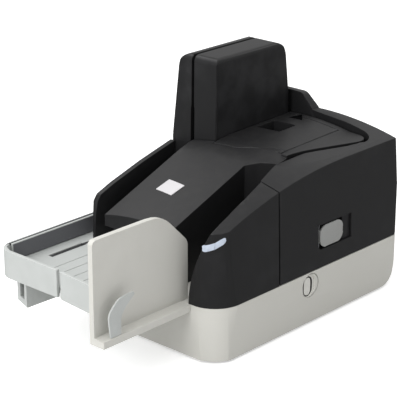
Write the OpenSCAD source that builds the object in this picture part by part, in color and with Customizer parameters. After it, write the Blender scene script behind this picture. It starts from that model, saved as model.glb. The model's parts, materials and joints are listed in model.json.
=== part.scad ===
// Compact cheque scanner. A cheque stands on its long edge in the hopper at the front right,
// is drawn back along a narrow groove, turns round the rear and passes the two image towers,
// and comes out at the front left into a stacker tray.
// Inside the modules x = 0 is the right side of the casing, y = 0 its front and z = 0 the table.

/* [Overall] */
// Width from the stacker wall to the right side of the casing
overall_w = 172; // [168:1:200]
// Depth from the front of the hopper shelf to the rear of the casing
overall_d = 322; // [300:1:350]
// Height of the two image towers above the table
tower_top = 200; // [185:1:215]

/* [Casing] */
// Width of the casing
body_w = 160; // [156:1:164]
// Depth of the casing
body_d = 230; // [228:1:236]
// Height of the light base and of the floor that the cheques stand on
base_h = 46; // [42:1:52]
// Wall of the moulded casings
wall = 2.5; // [2:0.1:3.2]
// Radius of the upright corner at the front right
front_corner_r = 25; // [18:1:28]
// Radius of the other upright corners of the casing
rear_corner_r = 8; // [5:1:11]
// How far the black covers lean in at the right between the base and the top
side_draft = 2.5; // [1:0.5:3.5]
// How far the rear of the black covers leans in between the base and the top
rear_lean = 6; // [3:0.5:7]
// Height of the cover's right edge at the rear
side_h = 131.2; // [128:0.4:136]
// Height of the same edge at the front of the casing
side_front_h = 102.2; // [98:0.4:106]
// Height of the flat strips on both sides of the groove's right leg
strip_h = 133.4; // [132:0.2:135]
// Radius across the crowned tops
crown_r = 293; // [260:1:340]
// Distance of the crown's ridge from the right side
crown_x = 77; // [70:1:84]
// Running gap between the swinging cover and what stays still
cover_gap = 0.5; // [0.4:0.05:0.8]
// Thickness of the deck that closes the base
deck = 3; // [2.5:0.1:3.6]
// Height of the rubber feet below the base
foot_h = 1.5; // [1:0.1:2]
// Diameter of a rubber foot
foot_d = 14; // [10:0.5:18]

/* [Cheque path] */
// Width of the groove that the cheques run in
groove = 4; // [3.4:0.2:4.6]
// Distance of the groove's right leg from the right side
leg_x = 34; // [33:0.5:36]
// Distance of the slot between the towers from the left side
slot_left = 25.5; // [24.5:0.5:26.5]
// Width of the slot between the towers
slot_w = 3; // [2.4:0.2:3.6]
// Depth at which the groove turns at the right
turn_y = 205; // [203:0.5:206]
// Depth at which the groove turns at the left
return_y = 217; // [216:0.5:218]
// Width of the hopper channel in front of the groove
hopper_w = 26.5; // [24:0.5:29]

/* [Centre island] */
// Depth of the island's front face behind the casing's front
island_y = 11.6; // [10:0.4:14]
// Height of the island's ridge at its front face
island_front_h = 95.8; // [92:0.4:99]
// Height of the island's ridge under the lid
island_h = 136.8; // [134:0.4:138]
// Depth where the island's front slope meets its flat top
island_bend_y = 115; // [110:1:120]
// Height of the opening under the island's front
recess_h = 34; // [30:1:38]
// Width of the imprinter lid
lid_w = 61; // [56:1:63]
// Thickness of the imprinter lid
lid_t = 3; // [2.4:0.2:3.6]
// Width of the finger pocket in the lid
pocket = 24; // [16:1:25]

/* [Towers] */
// Distance of the towers' left face from the left side
tower_left = 1.6; // [1:0.2:2.4]
// Width over both towers at their foot
tower_w = 50.4; // [48:0.4:51.2]
// Depth of the towers' front at the foot
tower_front = 116; // [113:1:119]
// Depth of the towers' rear at the foot
tower_rear = 212.5; // [210:0.5:213]

/* [Hopper and stacker] */
// Width of the hopper shelf between its plate and its finger
shelf_w = 9; // [7:0.5:11]
// Thickness of the hopper plate
plate_t = 4.5; // [3.5:0.5:5.5]
// Height of the hopper plate above the shelf
plate_h = 76; // [68:1:82]
// Height of the curved finger above the shelf
finger_h = 30; // [24:1:36]
// Height of the stacker floor above the table
tray_floor = 60; // [58:0.5:62]
// Height of the stacker's rim above its floor
rim_h = 15; // [10:1:18]
// Depth of the stacker's front wall in front of the casing
tray_reach = 70; // [64:1:76]
// Travel of the stacker's pull-out end
stacker_travel = 45; // [30:1:50]

/* [Rollers] */
// Diameter of the roller shafts
shaft_d = 5; // [4:0.5:6]
// Diameter of the driven rollers
drive_d = 22; // [20:0.5:24]
// Diameter of the pinch rollers
pinch_d = 10; // [9:0.5:11]
// Height of a roller's tyre
tyre_h = 18; // [14:1:22]
// Height of the tyres' foot above the deck
tyre_z = 14; // [12:1:16]
// Radial clearance of a shaft in its bearing
bearing_gap = 0.05; // [0.02:0.01:0.09]
// Gap between two rollers that face each other
nip_gap = 0.3; // [0.3:0.05:0.5]

/* [Hidden] */
$fn = 64;

// Degrees that one straight piece of an arc takes
arc_step = 9;
// Small overlap that lets cuts run clear of a face
cut = 1;

black = [0.17, 0.17, 0.175];
soft_black = [0.1, 0.1, 0.105];
light = [0.76, 0.76, 0.73];
pale = [0.82, 0.84, 0.85];
grey = [0.58, 0.59, 0.58];
steel = [0.7, 0.71, 0.73];
rubber = [0.2, 0.2, 0.2];
green = [0.1, 0.35, 0.2];

// Distances of the slot and of the towers' right face from the right side
slot_x = body_w - slot_left;
tower_x = body_w - tower_left - tower_w;
towers_left = -tower_x - tower_w;
// Slope of the cover's right edge at the front of the casing
side_slope = 0.35;
// Radius over which that edge bends level
side_bend_r = 430;
// Rise of the crowned tops from the right side to the ridge
crown_rise = crown_r - sqrt(crown_r * crown_r - crown_x * crown_x);
// Height of the line that the crowned tops are turned about
crown_axis = side_h + crown_rise - crown_r;
// Depth of the upright seam between the front block and the cover
seam_y = 74;
// Depth where the path enters the groove
mouth_y = 112;
// Left end of the cover, beside its hinge
cover_end = body_w - 14;
// Place of the cover's hinge pin
hinge_x = body_w - 7;
hinge_y = body_d - 6;
hinge_d = 4;
knuckle_r = 5;
// Rear face of the fixed post behind the towers
post_y = body_d - 10.5;
// Left end of the groove's wall that belongs to the cover
split_x = body_w - 40;
// Thickness of the sheet metal plate
plate = 2;
block_left = leg_x - 2.5;
hopper_left = block_left + hopper_w;
recess_y = 58;
tray_right = leg_x + 12;
front_y = body_d - overall_d;

function unit(v) = v / norm(v);
function xy(p) = [p[0], p[1]];

// Points that round the corner b between a and c
function corner(a, b, c, r) =
    let (u = unit(a - b), v = unit(c - b), half = acos(u * v) / 2)
    r <= 0 ? [b] :
    let (
        mid = b + unit(u + v) * r / sin(half),
        s = b + u * r / tan(half) - mid,
        e = b + v * r / tan(half) - mid,
        start = atan2(s[1], s[0]),
        turn = atan2(s[0] * e[1] - s[1] * e[0], s * e),
        n = max(2, ceil(abs(turn) / arc_step))
    )
    [for (i = [0:n]) mid + r * [cos(start + turn * i / n), sin(start + turn * i / n)]];

// A closed outline whose corners [x, y, radius] are rounded
function rounded(p) =
    let (n = len(p))
    [for (i = [0:n - 1]) each corner(xy(p[(i + n - 1) % n]), xy(p[i]), xy(p[(i + 1) % n]), p[i][2])];

// An open path whose inner corners are rounded
function path(p) =
    [for (i = [0:len(p) - 1]) each
        (i == 0 || i == len(p) - 1 ? [xy(p[i])] : corner(xy(p[i - 1]), xy(p[i]), xy(p[i + 1]), p[i][2]))];

// The same path moved to its left by d
function beside(p, d) =
    [for (i = [0:len(p) - 1])
        let (
            a = unit(i == 0 ? p[1] - p[0] : p[i] - p[i - 1]),
            b = unit(i == len(p) - 1 ? p[i] - p[i - 1] : p[i + 1] - p[i]),
            m = unit(a + b)
        )
        p[i] + d / (m * a) * [-m[1], m[0]]];

// A closed outline moved inwards by d
function inset(p, d) =
    let (n = len(p))
    [for (i = [0:n - 1])
        let (a = unit(p[i] - p[(i + n - 1) % n]), b = unit(p[(i + 1) % n] - p[i]), m = unit(a + b))
        p[i] + d / (m * a) * [-m[1], m[0]]];

// A rounded outline that bulges outwards everywhere, moved inwards by t. Its corners tighten faster
// than it shrinks, so that they still fit on its short edges
function rounded_inset(p, t) =
    let (q = inset([for (v = p) xy(v)], t))
    rounded([for (i = [0:len(p) - 1]) [q[i][0], q[i][1], max(0, p[i][2] - 1.6 * t)]]);

function reversed(p) = [for (i = [len(p) - 1:-1:0]) p[i]];

// Height of the cover's right edge at depth y
side_vertex = (side_h - side_front_h) / side_slope;
side_level_y = side_vertex + side_bend_r * tan(atan(side_slope) / 2);
side_bend_y = side_level_y - side_bend_r * sin(atan(side_slope));
function side_z(y) =
    y > side_level_y ? side_h :
    y > side_bend_y ? side_h - side_bend_r + sqrt(pow(side_bend_r, 2) - pow(y - side_level_y, 2)) :
    side_front_h + side_slope * y;

// Middle line of the groove: right leg, rear leg, and the leg between the towers
groove_path = path([
    [-leg_x, mouth_y, 0],
    [-leg_x, mouth_y + 24, 70],
    [-leg_x + 26, turn_y, 14],
    [-slot_x, return_y, 24],
    [-slot_x, island_y, 0],
]);
inner_edge = beside(groove_path, groove / 2);
outer_edge = beside(groove_path, -groove / 2);

casing_plan = rounded([
    [0, 0, front_corner_r],
    [0, body_d, rear_corner_r],
    [-body_w, body_d, rear_corner_r],
    [-body_w, island_y, 8],
    [-104, island_y, 5],
    [-98, 0, 5],
]);

island_plan = concat(inner_edge, [
    [-hopper_left, island_y],
    [-hopper_left, mouth_y - 16],
    [-hopper_left + 9, mouth_y - 7],
]);

cover_plan = concat(
    rounded([
        [0, seam_y, 0], [0, body_d, rear_corner_r], [-cover_end, body_d, 0],
        [-cover_end, post_y + cover_gap, 0],
    ]),
    [[-split_x, post_y + cover_gap]],
    reversed([for (q = outer_edge) if (q[0] > -split_x) q]),
    [[-leg_x + groove / 2 + 10, seam_y]]
);

// Places of the driven rollers, each on the island's side of the groove
function facing(p, u, r) = p + r * [-u[1], u[0]];
right_u = unit([26, turn_y - mouth_y - 24]);
right_p = [-leg_x, mouth_y + 24] + right_u * 17;
rear_u = unit([-slot_x + leg_x - 26, return_y - turn_y]);
rear_p = [-leg_x + 26, turn_y] + rear_u * 43;
feed_p = [-leg_x, mouth_y + 12];
exit_p = [-slot_x, 84];
drive_off = drive_d / 2 + nip_gap / 2;
pinch_off = pinch_d / 2 + nip_gap / 2;
feed_at = facing(feed_p, [0, 1], drive_off);
// This one is not driven: it holds the cheque to the magnetic head
right_at = facing(right_p, right_u, drive_d / 2 - groove / 2 + nip_gap);
rear_at = facing(rear_p, rear_u, drive_off);
exit_at = facing(exit_p, [0, -1], drive_off);
retard_d = 18;
retard_at = facing(feed_p, [0, 1], -retard_d / 2 - nip_gap / 2);
rear_pinch_at = facing(rear_p, rear_u, -pinch_off);
exit_pinch_at = facing(exit_p, [0, -1], -pinch_off);
drives = [feed_at, right_at, rear_at, exit_at];
motor_at = [16 - tower_x, 130];

tyre_foot = base_h + tyre_z;
tyre_top = tyre_foot + tyre_h;
pulley_z = base_h + 2;
pulley_h = 9;
pulley_r = drive_off - groove / 2 - wall - 2.2;
motor_r = 0.9 * pulley_r;
belt_t = 1.2;
shaft_foot = base_h - 12;
plate_z = tyre_top + 4;

// Moves the pieces from the casing's corner to the middle of the whole footprint
module place() {
    translate([overall_w / 2, overall_d / 2 - body_d, 0]) children();
}

// Extrudes an outline of depth and height from x0 to x1
module across(x0, x1) {
    translate([x0, 0, 0]) rotate([90, 0, 90]) linear_extrude(x1 - x0) children();
}

// Extrudes an outline of width and height from y0 to y1
module along(y0, y1) {
    translate([0, y1, 0]) rotate([90, 0, 0]) linear_extrude(y1 - y0) children();
}

// Extrudes an outline of width and depth from z0 to z1
module upright(z0, z1) {
    translate([0, 0, z0]) linear_extrude(z1 - z0) children();
}

module block(x0, x1, y0, y1, z0, z1) {
    translate([x0, y0, z0]) cube([x1 - x0, y1 - y0, z1 - z0]);
}

module rod(at, r, z0, z1) {
    translate([at[0], at[1], z0]) cylinder(r = r, h = z1 - z0);
}

// A solid below a crowned top; each point is a depth and the ridge height there
module crowned(ridge, drop = 0) {
    low = 100;
    translate([-crown_x, 0, crown_axis])
        rotate([-90, 0, 0])
        rotate([0, 0, -115])
        rotate_extrude(angle = 50, $fn = 240)
        polygon(concat(
            [[low, ridge[0][0]]],
            [for (q = ridge) [q[1] - crown_axis - drop, q[0]]],
            [[low, ridge[len(ridge) - 1][0]]]
        ));
}

cover_ridge = [for (y = [-4, each [8:12:152], 160, body_d + 4])
    [y, crown_axis + sqrt(pow(side_z(y) - crown_axis, 2) + crown_x * crown_x)]];
island_ridge = path([
    [island_y - 4, island_front_h - 1.5, 0],
    [island_bend_y, island_h - 2, 110],
    [body_d, island_h + 0.6, 0],
]);

// The slopes of the black casings, moved inwards by t
module casing_slopes(t = 0) {
    high = 230;
    rise = high - base_h;
    lean = rise / (side_h - base_h);
    intersection() {
        along(-cut, body_d + cut)
            polygon([
                [-t, base_h - cut], [-t, base_h], [-t - side_draft * lean, high],
                [-body_w + t, high], [-body_w + t, base_h - cut],
            ]);
        across(-body_w - cut, cut)
            polygon([
                [-cut, base_h - cut], [body_d - t, base_h - cut], [body_d - t, base_h],
                [body_d - t - rear_lean * lean, high], [-cut, high],
            ]);
    }
}

// The outside of the base, moved inwards by t
module base_shape(t, z0, z1) {
    intersection() {
        upright(z0, z1) polygon(inset(casing_plan, t));
        across(-body_w - cut, cut)
            polygon(rounded([
                [1 + t, foot_h, 0], [t, base_h, 0], [t, base_h + cut, 0], [body_d - t, base_h + cut, 0],
                [body_d - t, base_h, 0], [body_d - 7 - t, foot_h, t == 0 ? 14 : 12],
            ]));
        along(-cut, body_d + cut)
            polygon([
                [-1.5 - t, foot_h], [-t, base_h], [-t, base_h + cut], [-body_w + t, base_h + cut],
                [-body_w + t, base_h], [-body_w + 1.5 + t, foot_h],
            ]);
    }
}

// The raised guide at the rear of the cover and of the post
module rear_hump(t = 0) {
    along(post_y - 60, body_d + cut)
        polygon(rounded([
            [-78 - t, base_h, 0], [-84 - t, side_h + crown_rise - t, 6], [-97 - t, tower_top - 46 - t, 8],
            [-body_w - 20, tower_top - 46 - t, 0], [-body_w - 20, base_h, 0],
        ]));
}

// Space inside the groove's middle line moved by d, from the mouth to the front
module inside_path(d, z0, z1) {
    edge = beside(groove_path, d);
    upright(z0, z1) polygon(concat(edge, [[-slot_x - d, -cut], [-leg_x - d, -cut]]));
}

foot_spots = [[-26, 26], [-26, body_d - 34], [-body_w + 22, body_d - 34], [-body_w + 22, island_y + 22]];
screw_spots = [[-12, 44], [-12, body_d - 60], [-body_w + 10, body_d - 60], [-body_w + 10, island_y + 40]];
button_y = 110;
button_z = 34.5;
power_x = -91;
data_x = -60;
socket_z = 19.6;
socket_top = 31;

// A pill-shaped outline on the right side
module pill(dy, width, height, x0, x1) {
    across(x0, x1)
        translate([button_y + dy, button_z])
        polygon(rounded([
            [-width / 2, -height / 2, width / 2 - 0.1], [width / 2, -height / 2, width / 2 - 0.1],
            [width / 2, height / 2, width / 2 - 0.1], [-width / 2, height / 2, width / 2 - 0.1],
        ]));
}

function crown_z(ridge, x) =
    crown_axis + sqrt(pow(ridge - crown_axis, 2) - pow(x + crown_x, 2));

// The lid turns about a barrel along its right edge
lid_r = 3.4;
lid_left = 0.8 - tower_x;
lid_x = lid_left + lid_w + 1 - lid_r;
lid_z = crown_z(island_h + 0.3, lid_x) - lid_r;
// Distance from the hinge's axis up to which the lid's ends are square to it
lid_square = 4.5;
lid_front = 131;
lid_rear = turn_y - 4.5;
lid_pin_d = 2.4;
pocket_x = lid_left + 18.1;
pocket_y = 172.2;
pocket_depth = 9;
// Triangular dip behind the pocket, where a finger reaches the lid's rear edge
dip = [[lid_left + 9.7, lid_rear - 3.1], [lid_left + 14, lid_rear + 10.8], [lid_left + 25.3, lid_rear - 3.2]];
lid_plan = [
    [lid_x + lid_r, lid_front], [lid_x + lid_r, lid_rear], [lid_x - lid_square, lid_rear],
    [lid_left, lid_rear + 6], [lid_left, 113], [lid_left + 24.2, 113], [lid_left + 43.2, 122],
    [lid_x - lid_square, lid_front],
];

// The opening in the island that the inner tower stands in
module tower_bay(t = 0) {
    block(-body_w, -tower_x + 0.4 + t, tower_front - 0.4 - t, body_d, base_h - cut, tower_top);
}

// The opening under the island's front that the stacker reaches into
module front_recess(t = 0) {
    block(-body_w, -hopper_left - wall + t, -cut, recess_y + t, base_h - cut, base_h + recess_h + t);
}

// The island's top, crowned, with a flat strip beside the groove's right leg
module island_top(t = 0) {
    crowned(island_ridge, t);
    block(-42, 0, 122, body_d, base_h, strip_h + 0.5 - t);
}

// Keeps the cover's right strip level and lets it rise to the crown at the rear
module strip_cap(t = 0) {
    across(-body_w, cut) translate([0, -t]) polygon(path([
        [0, 0, 0], [0, strip_h - 0.2, 0], [186, strip_h, 80], [222, 143, 0], [body_d + cut, 147, 0],
        [body_d + cut, 0, 0],
    ]));
}

module roller_windows(spots, r) {
    for (q = spots) rod(q, r, tyre_foot - 0.6, tyre_top + 0.6);
}

module island_inside() {
    difference() {
        intersection() {
            island_top(wall);
            upright(base_h - cut, tower_top) polygon(inset(island_plan, wall));
        }
        tower_bay(wall);
        front_recess(wall);
    }
}

module centre_island() {
    color(black) place() difference() {
        union() {
            difference() {
                intersection() {
                    island_top();
                    upright(base_h, tower_top) polygon(island_plan);
                }
                island_inside();
            }
            // Rim that the lid rests on
            intersection() {
                difference() {
                    crowned(island_ridge, 1);
                    crowned(island_ridge, lid_t + 2.3);
                }
                upright(base_h, tower_top) difference() {
                    polygon(inset(lid_plan, -4));
                    polygon(inset(lid_plan, 4));
                }
                upright(base_h, tower_top) polygon(inset(island_plan, 1));
            }
            // Bosses of the lid's pins
            for (y = [lid_front - 6, lid_rear + 0.4])
                block(lid_x - 4, lid_x + 4, y, y + 5.6, lid_z - 4, lid_z + 1.5);
        }
        tower_bay();
        front_recess();
        difference() {
            upright(base_h, tower_top) polygon(inset(lid_plan, -0.4));
            crowned(island_ridge, lid_t + 0.3);
        }
        translate([lid_x, lid_front - 0.4, lid_z]) rotate([-90, 0, 0])
            cylinder(r = lid_r + 0.4, h = lid_rear - lid_front + 0.8);
        translate([lid_x, lid_front - 5, lid_z]) rotate([-90, 0, 0])
            cylinder(d = lid_pin_d, h = lid_rear - lid_front + 10);
        roller_windows(drives, drive_d / 2 + 0.6);
        difference() {
            upright(base_h, tower_top) polygon(dip);
            crowned(island_ridge, 1.6);
        }
    }
}

module imprinter_lid() {
    color(black) place() difference() {
        union() {
            difference() {
                union() {
                    intersection() {
                        difference() {
                            crowned(island_ridge);
                            crowned(island_ridge, lid_t);
                        }
                        upright(base_h, tower_top) polygon(lid_plan);
                    }
                    // Walls of the finger pocket
                    intersection() {
                        difference() {
                            crowned(island_ridge, 1);
                            crowned(island_ridge, pocket_depth + 1.5);
                        }
                        translate([pocket_x, pocket_y, tower_top / 2])
                            cube([pocket + 3, pocket + 1, tower_top], center = true);
                    }
                }
                block(lid_x, 0, 0, body_d, base_h, tower_top);
                difference() {
                    translate([pocket_x, pocket_y, tower_top / 2])
                        cube([pocket, pocket - 2, tower_top], center = true);
                    crowned(island_ridge, pocket_depth);
                }
                difference() {
                    upright(base_h, tower_top) polygon(dip);
                    crowned(island_ridge, 1.8);
                }
            }
            intersection() {
                translate([lid_x, lid_front, lid_z]) rotate([-90, 0, 0])
                    cylinder(r = lid_r, h = lid_rear - lid_front);
                crowned(island_ridge);
            }
        }
        for (y = [lid_front - 4, lid_rear - 8])
            translate([lid_x, y, lid_z]) rotate([-90, 0, 0])
                cylinder(r = lid_pin_d / 2 + bearing_gap, h = 12);
    }
}

module lid_pins() {
    color(steel) place()
        for (y = [lid_front - 5, lid_rear - 7])
            translate([lid_x, y, lid_z]) rotate([-90, 0, 0]) cylinder(d = lid_pin_d, h = 12);
}

module badge() {
    color(pale) place() intersection() {
        difference() {
            crowned(island_ridge, -0.7);
            crowned(island_ridge);
        }
        translate([-98, 51.8, tower_top / 2]) rotate(-9) cube([20.2, 13.4, tower_top], center = true);
    }
}

// Section of the front block, from its front at s = 0 to its seam at s = 1
function block_section(s) =
    let (
        a = [-4, 117.4] * (1 - s) + [-14, 134] * s,
        b = [-30.5, 72] * (1 - s) + [-34.5, 118] * s,
        c = [-30, base_h - 16] * (1 - s) + [-block_left, base_h - 16] * s,
        n = 12
    )
    concat([c, [2, c[1]], [2, a[1]]], [for (i = [0:n])
        let (k = i / n, d = [-block_left + 1.5 * (1 - s), base_h * (1 - s) + 96 * s])
        a * pow(1 - k, 2) + b * 2 * k * (1 - k) + d * k * k]);

module block_solid(t = 0) {
    steps = 3;
    depth = seam_y - cover_gap - 2 * t;
    intersection() {
        crowned(cover_ridge, t);
        casing_slopes(t);
        upright(base_h - (t > 0 ? cut : 0), tower_top) polygon(inset(casing_plan, t));
        union() for (i = [0:steps - 1]) hull() for (j = [i, i + 1])
            along(t + depth * j / steps - (j == 0 ? 0 : 0.02), t + depth * j / steps + (j == 0 ? 0.02 : 0))
                polygon(inset(block_section(j / steps), t));
    }
}

// Outline of the crescent lens, seen from the front
module crescent(t = 0) {
    translate([-10.2, 97.4]) rotate(30) intersection() {
        translate([0, -12.6]) circle(r = 15.2 + t, $fn = 96);
        translate([0, 10.4]) circle(r = 13.2 + t, $fn = 96);
    }
}

module front_block() {
    color(black) place() difference() {
        block_solid();
        block_solid(wall);
        along(-cut, 20) crescent(0.1);
    }
}

module status_lens() {
    color([0.86, 0.93, 0.97]) place() intersection() {
        difference() {
            block_solid();
            block_solid(wall);
        }
        along(-cut, 20) crescent();
    }
}

// The cover without its hollow, moved inwards by t
module cover_solid(t = 0, foot = 0) {
    intersection() {
        casing_slopes(t);
        upright(base_h + foot, tower_top) polygon(inset(cover_plan, t));
        union() {
            intersection() {
                crowned(cover_ridge, t);
                strip_cap(t);
            }
            rear_hump(t);
        }
    }
}

lever_x = -4.6;
lever_y = 125.2;
lever_r = 3.4;
lever_h = 20;
lever_z = 62;
pocket_end = 164;

module lever_pocket(t = 0) {
    gap = 0.5 + t;
    block(-10 - t, cut, lever_y - lever_r - 0.4 - t, pocket_end + t, lever_z - gap, lever_z + lever_h + gap);
}

// Heights between which each knuckle of the cover's hinge stands
cover_knuckles = [[62, 88], [104, 130]];
fixed_knuckles = [[base_h + 1, 61.6], [88.4, 103.6], [130.4, 146]];

module head_at(z) {
    translate([right_p[0], right_p[1], z]) rotate(-atan2(right_u[0], right_u[1])) children();
}

module outer_cover() {
    color(black) place() difference() {
        union() {
            difference() {
                cover_solid(0, cover_gap);
                cover_solid(wall);
                lever_pocket();
            }
            intersection() {
                cover_solid(1);
                union() {
                    difference() {
                        lever_pocket(2);
                        lever_pocket();
                    }
                    // Ribs that carry the rollers
                    for (z = [54, tyre_top + 3]) {
                        block(-leg_x, -12, 108, 138, z, z + 2.5);
                        block(-64, -36, 205, body_d, z, z + 2.5);
                    }
                }
            }
            intersection() {
                union() for (q = cover_knuckles) {
                    rod([-hinge_x, hinge_y], knuckle_r, q[0], q[1]);
                    block(-hinge_x, -cover_end + 4, post_y + 0.5, hinge_y + 1, q[0], q[1]);
                }
                block(-body_w, 0, post_y - 2, body_d, base_h, tower_top);
            }
        }
        rod([-hinge_x, hinge_y], hinge_d / 2 + bearing_gap, base_h, tower_top);
        roller_windows([retard_at], retard_d / 2 + 0.6);
        roller_windows([rear_pinch_at], pinch_d / 2 + 0.6);
        rod(retard_at, 2 + bearing_gap, 53, tyre_top + 7);
        rod(rear_pinch_at, 1.5 + bearing_gap, 53, tyre_top + 7);
        head_at(51) translate([2 - 0.1, -7.2, 0]) cube([8.4, 14.4, 22]);
        rod([lever_x, lever_y], 1.25, lever_z - 2.4, lever_z + lever_h + 2.4);
    }
}

module magnetic_head() {
    color(steel) place() head_at(51.2) translate([2, -7, 0]) cube([8, 14, 21.6]);
}

module hinge_pin() {
    color(steel) place() rod([-hinge_x, hinge_y], hinge_d / 2, base_h, 147);
}

module release_lever() {
    top = lever_z + lever_h;
    front = lever_y - lever_r;
    color(grey) place() difference() {
        intersection() {
            union() {
                rod([lever_x, lever_y], lever_r, lever_z, top);
                upright(lever_z, top) polygon(rounded([
                    [lever_x, front, 0], [-1.1, lever_y - 1.2, 1], [-0.4, 134, 30], [-1.1, 151, 0.9],
                    [-4.2, 151, 1.2], [-3.8, 134, 20], [lever_x - 1, lever_y + 3, 2],
                    [lever_x - 3, lever_y, 0.5],
                ]));
            }
            // Rounded corners as seen from the right
            across(lever_x - lever_r, cut) polygon(rounded([
                [front, lever_z, 6], [151, lever_z, 5], [151, top, 4], [front, top, 6],
            ]));
        }
        rod([lever_x, lever_y], 1.25 + bearing_gap, lever_z - cut, lever_z + lever_h + cut);
    }
}

module lever_pin() {
    color(steel) place() rod([lever_x, lever_y], 1.25, lever_z - 2.4, lever_z + lever_h + 2.4);
}

module roller(at, r, stub) {
    rod(at, r, tyre_foot, tyre_top);
    rod(at, stub, 54.2, tyre_top + 5.4);
}

module retard_roller() {
    color(rubber) place() roller(retard_at, retard_d / 2, 2);
}

module rear_pinch() {
    color(rubber) place() roller(rear_pinch_at, pinch_d / 2, 1.5);
}

module exit_pinch() {
    color(rubber) place() roller(exit_pinch_at, pinch_d / 2, 1.5);
}

module shaft(at, pulley = pulley_r) {
    color(steel) place() {
        rod(at, shaft_d / 2, shaft_foot, plate_z + plate + 2);
        rod(at, pulley, pulley_z, pulley_z + pulley_h);
    }
}

module tyre(at) {
    color(rubber) place() difference() {
        rod(at, drive_d / 2, tyre_foot, tyre_top);
        rod(at, shaft_d / 2, tyre_foot - cut, tyre_top + cut);
    }
}

module feed_shaft() { shaft(feed_at); }
module right_shaft() { shaft(right_at, shaft_d / 2); }
module rear_shaft() { shaft(rear_at); }
module exit_shaft() { shaft(exit_at); }
module feed_tyre() { tyre(feed_at); }
module right_tyre() { tyre(right_at); }
module rear_tyre() { tyre(rear_at); }
module exit_tyre() { tyre(exit_at); }

module motor_pulley() {
    color(steel) place() {
        rod(motor_at, 2, base_h - 14, pulley_z + pulley_h);
        rod(motor_at, motor_r, pulley_z, pulley_z + pulley_h);
    }
}

module drive_motor() {
    color(steel) place() difference() {
        union() {
            rod(motor_at, 18, 11, base_h - deck - 2);
            translate([motor_at[0], motor_at[1], base_h - deck - 1]) cube([44, 16, 2], center = true);
        }
        rod(motor_at, 2 + bearing_gap, base_h - 14.5, base_h);
    }
}

module belt_line(spots, t) {
    hull() for (q = spots) translate(xy(q)) circle(r = q[2] + 0.35 + t, $fn = 32);
}

module belt(spots, z) {
    upright(z, z + 3.5) difference() {
        belt_line(spots, belt_t);
        belt_line(spots, 0);
    }
}

module drive_belts() {
    feed = concat(feed_at, [pulley_r]);
    color(rubber) place() {
        belt([feed, concat(rear_at, [pulley_r]), concat(motor_at, [motor_r])], pulley_z + 0.6);
        belt([feed, concat(exit_at, [pulley_r])], pulley_z + pulley_h - 4.1);
    }
}

post_spots = [[-tower_x - 4, 70], [-72, 84], [18 - tower_x, 190], [-60, 160]];

module bearing_plate() {
    color(steel) place() difference() {
        upright(plate_z, plate_z + plate) polygon(inset(island_plan, wall + 0.6));
        tower_bay(wall + 0.6);
        block(-body_w, -hopper_left + 1, -cut, recess_y + wall + 0.6, base_h, tower_top);
        for (q = drives) rod(q, shaft_d / 2 + bearing_gap, plate_z - cut, plate_z + plate + cut);
    }
}

module bearing_posts() {
    color(steel) place() for (q = post_spots) rod(q, 3, base_h, plate_z);
}

module imprint_cartridge() {
    top = plate_z + plate;
    left = 5 - tower_x;
    color(soft_black) place() difference() {
        union() {
            block(left, left + 31, 160, 198, top, top + 36);
            block(left + 3, left + 28, 198, 202, top + 4, top + 24);
        }
        block(left + 5, left + 26, 164, 186, top + 33, top + 37);
    }
}

// Foot of a tower, from which its hollow runs out below
function tower_foot(t) = base_h - (t > 0 ? t + cut : 0);

module tower_profile(t = 0) {
    across(-body_w, 0)
        polygon(rounded_inset([
            [tower_front, tower_foot(t), 0], [tower_rear + 0.5, tower_foot(t), 0],
            [tower_rear + 0.5, 132, 12], [tower_rear - 8, tower_top, 14], [tower_front + 2, tower_top, 6],
        ], t));
}

module channel(d, top) {
    intersection() {
        inside_path(d, base_h - cut, top);
        block(-body_w, 0, 0, body_d, 0, tower_top);
    }
}

inner_face = -slot_x + slot_w / 2;
outer_face = -slot_x - slot_w / 2;
image_h = tower_top - 45;

module inner_solid(t = 0) {
    foot = tower_foot(t);
    intersection() {
        tower_profile(t);
        along(0, body_d) polygon(rounded_inset([
            [-tower_x, foot, 0], [-tower_x, tower_top, 5], [inner_face, tower_top, 0.8],
            [inner_face, foot, 0],
        ], t));
        upright(foot, tower_top) polygon(rounded_inset([
            [-tower_x, tower_front, 4], [-tower_x, tower_rear + 0.5, 4], [inner_face, tower_rear + 0.5, 1],
            [inner_face, tower_front, 1],
        ], t));
        union() {
            channel(groove / 2 + 0.1 + t, image_h + t);
            block(-body_w, 0, 0, body_d, image_h + t, tower_top);
        }
    }
}

module outer_solid(t = 0) {
    foot = tower_foot(t);
    intersection() {
        tower_profile(t);
        along(0, body_d) polygon(rounded_inset([
            [outer_face, foot, 0], [outer_face, tower_top, 0.8], [towers_left + 9, tower_top, 13],
            [towers_left, tower_top - 82, 40], [towers_left, foot, 0],
        ], t));
        upright(foot, tower_top) polygon(rounded_inset([
            [outer_face, tower_front, 1], [outer_face, tower_rear + 0.5, 1],
            [towers_left, tower_rear + 0.5, 4], [towers_left, tower_front, 4],
        ], t));
    }
}

glass_w = 10;
glass_foot = base_h + 4;
glass_top = 132;
inner_glass_y = 156;
outer_glass_y = 170;

module glass_window(x0, x1, y) {
    block(x0, x1, y - 0.1, y + glass_w + 0.1, glass_foot - 0.1, glass_top + 0.1);
}

module tower_inner() {
    color(black) place() difference() {
        inner_solid();
        inner_solid(wall);
        glass_window(-slot_x, -slot_x + 8, inner_glass_y);
    }
}

module tower_outer() {
    color(black) place() difference() {
        outer_solid();
        outer_solid(wall);
        channel(-groove / 2, image_h);
        glass_window(-slot_x - 8, -slot_x, outer_glass_y);
    }
}

module sensor_glass_inner() {
    face = -slot_x + groove / 2 + 0.1;
    color([0.25, 0.32, 0.3]) place()
        block(face, face + 2, inner_glass_y, inner_glass_y + glass_w, glass_foot, glass_top);
}

module sensor_glass_outer() {
    face = -slot_x - groove / 2;
    color([0.25, 0.32, 0.3]) place()
        block(face - 2, face, outer_glass_y, outer_glass_y + glass_w, glass_foot, glass_top);
}

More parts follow.
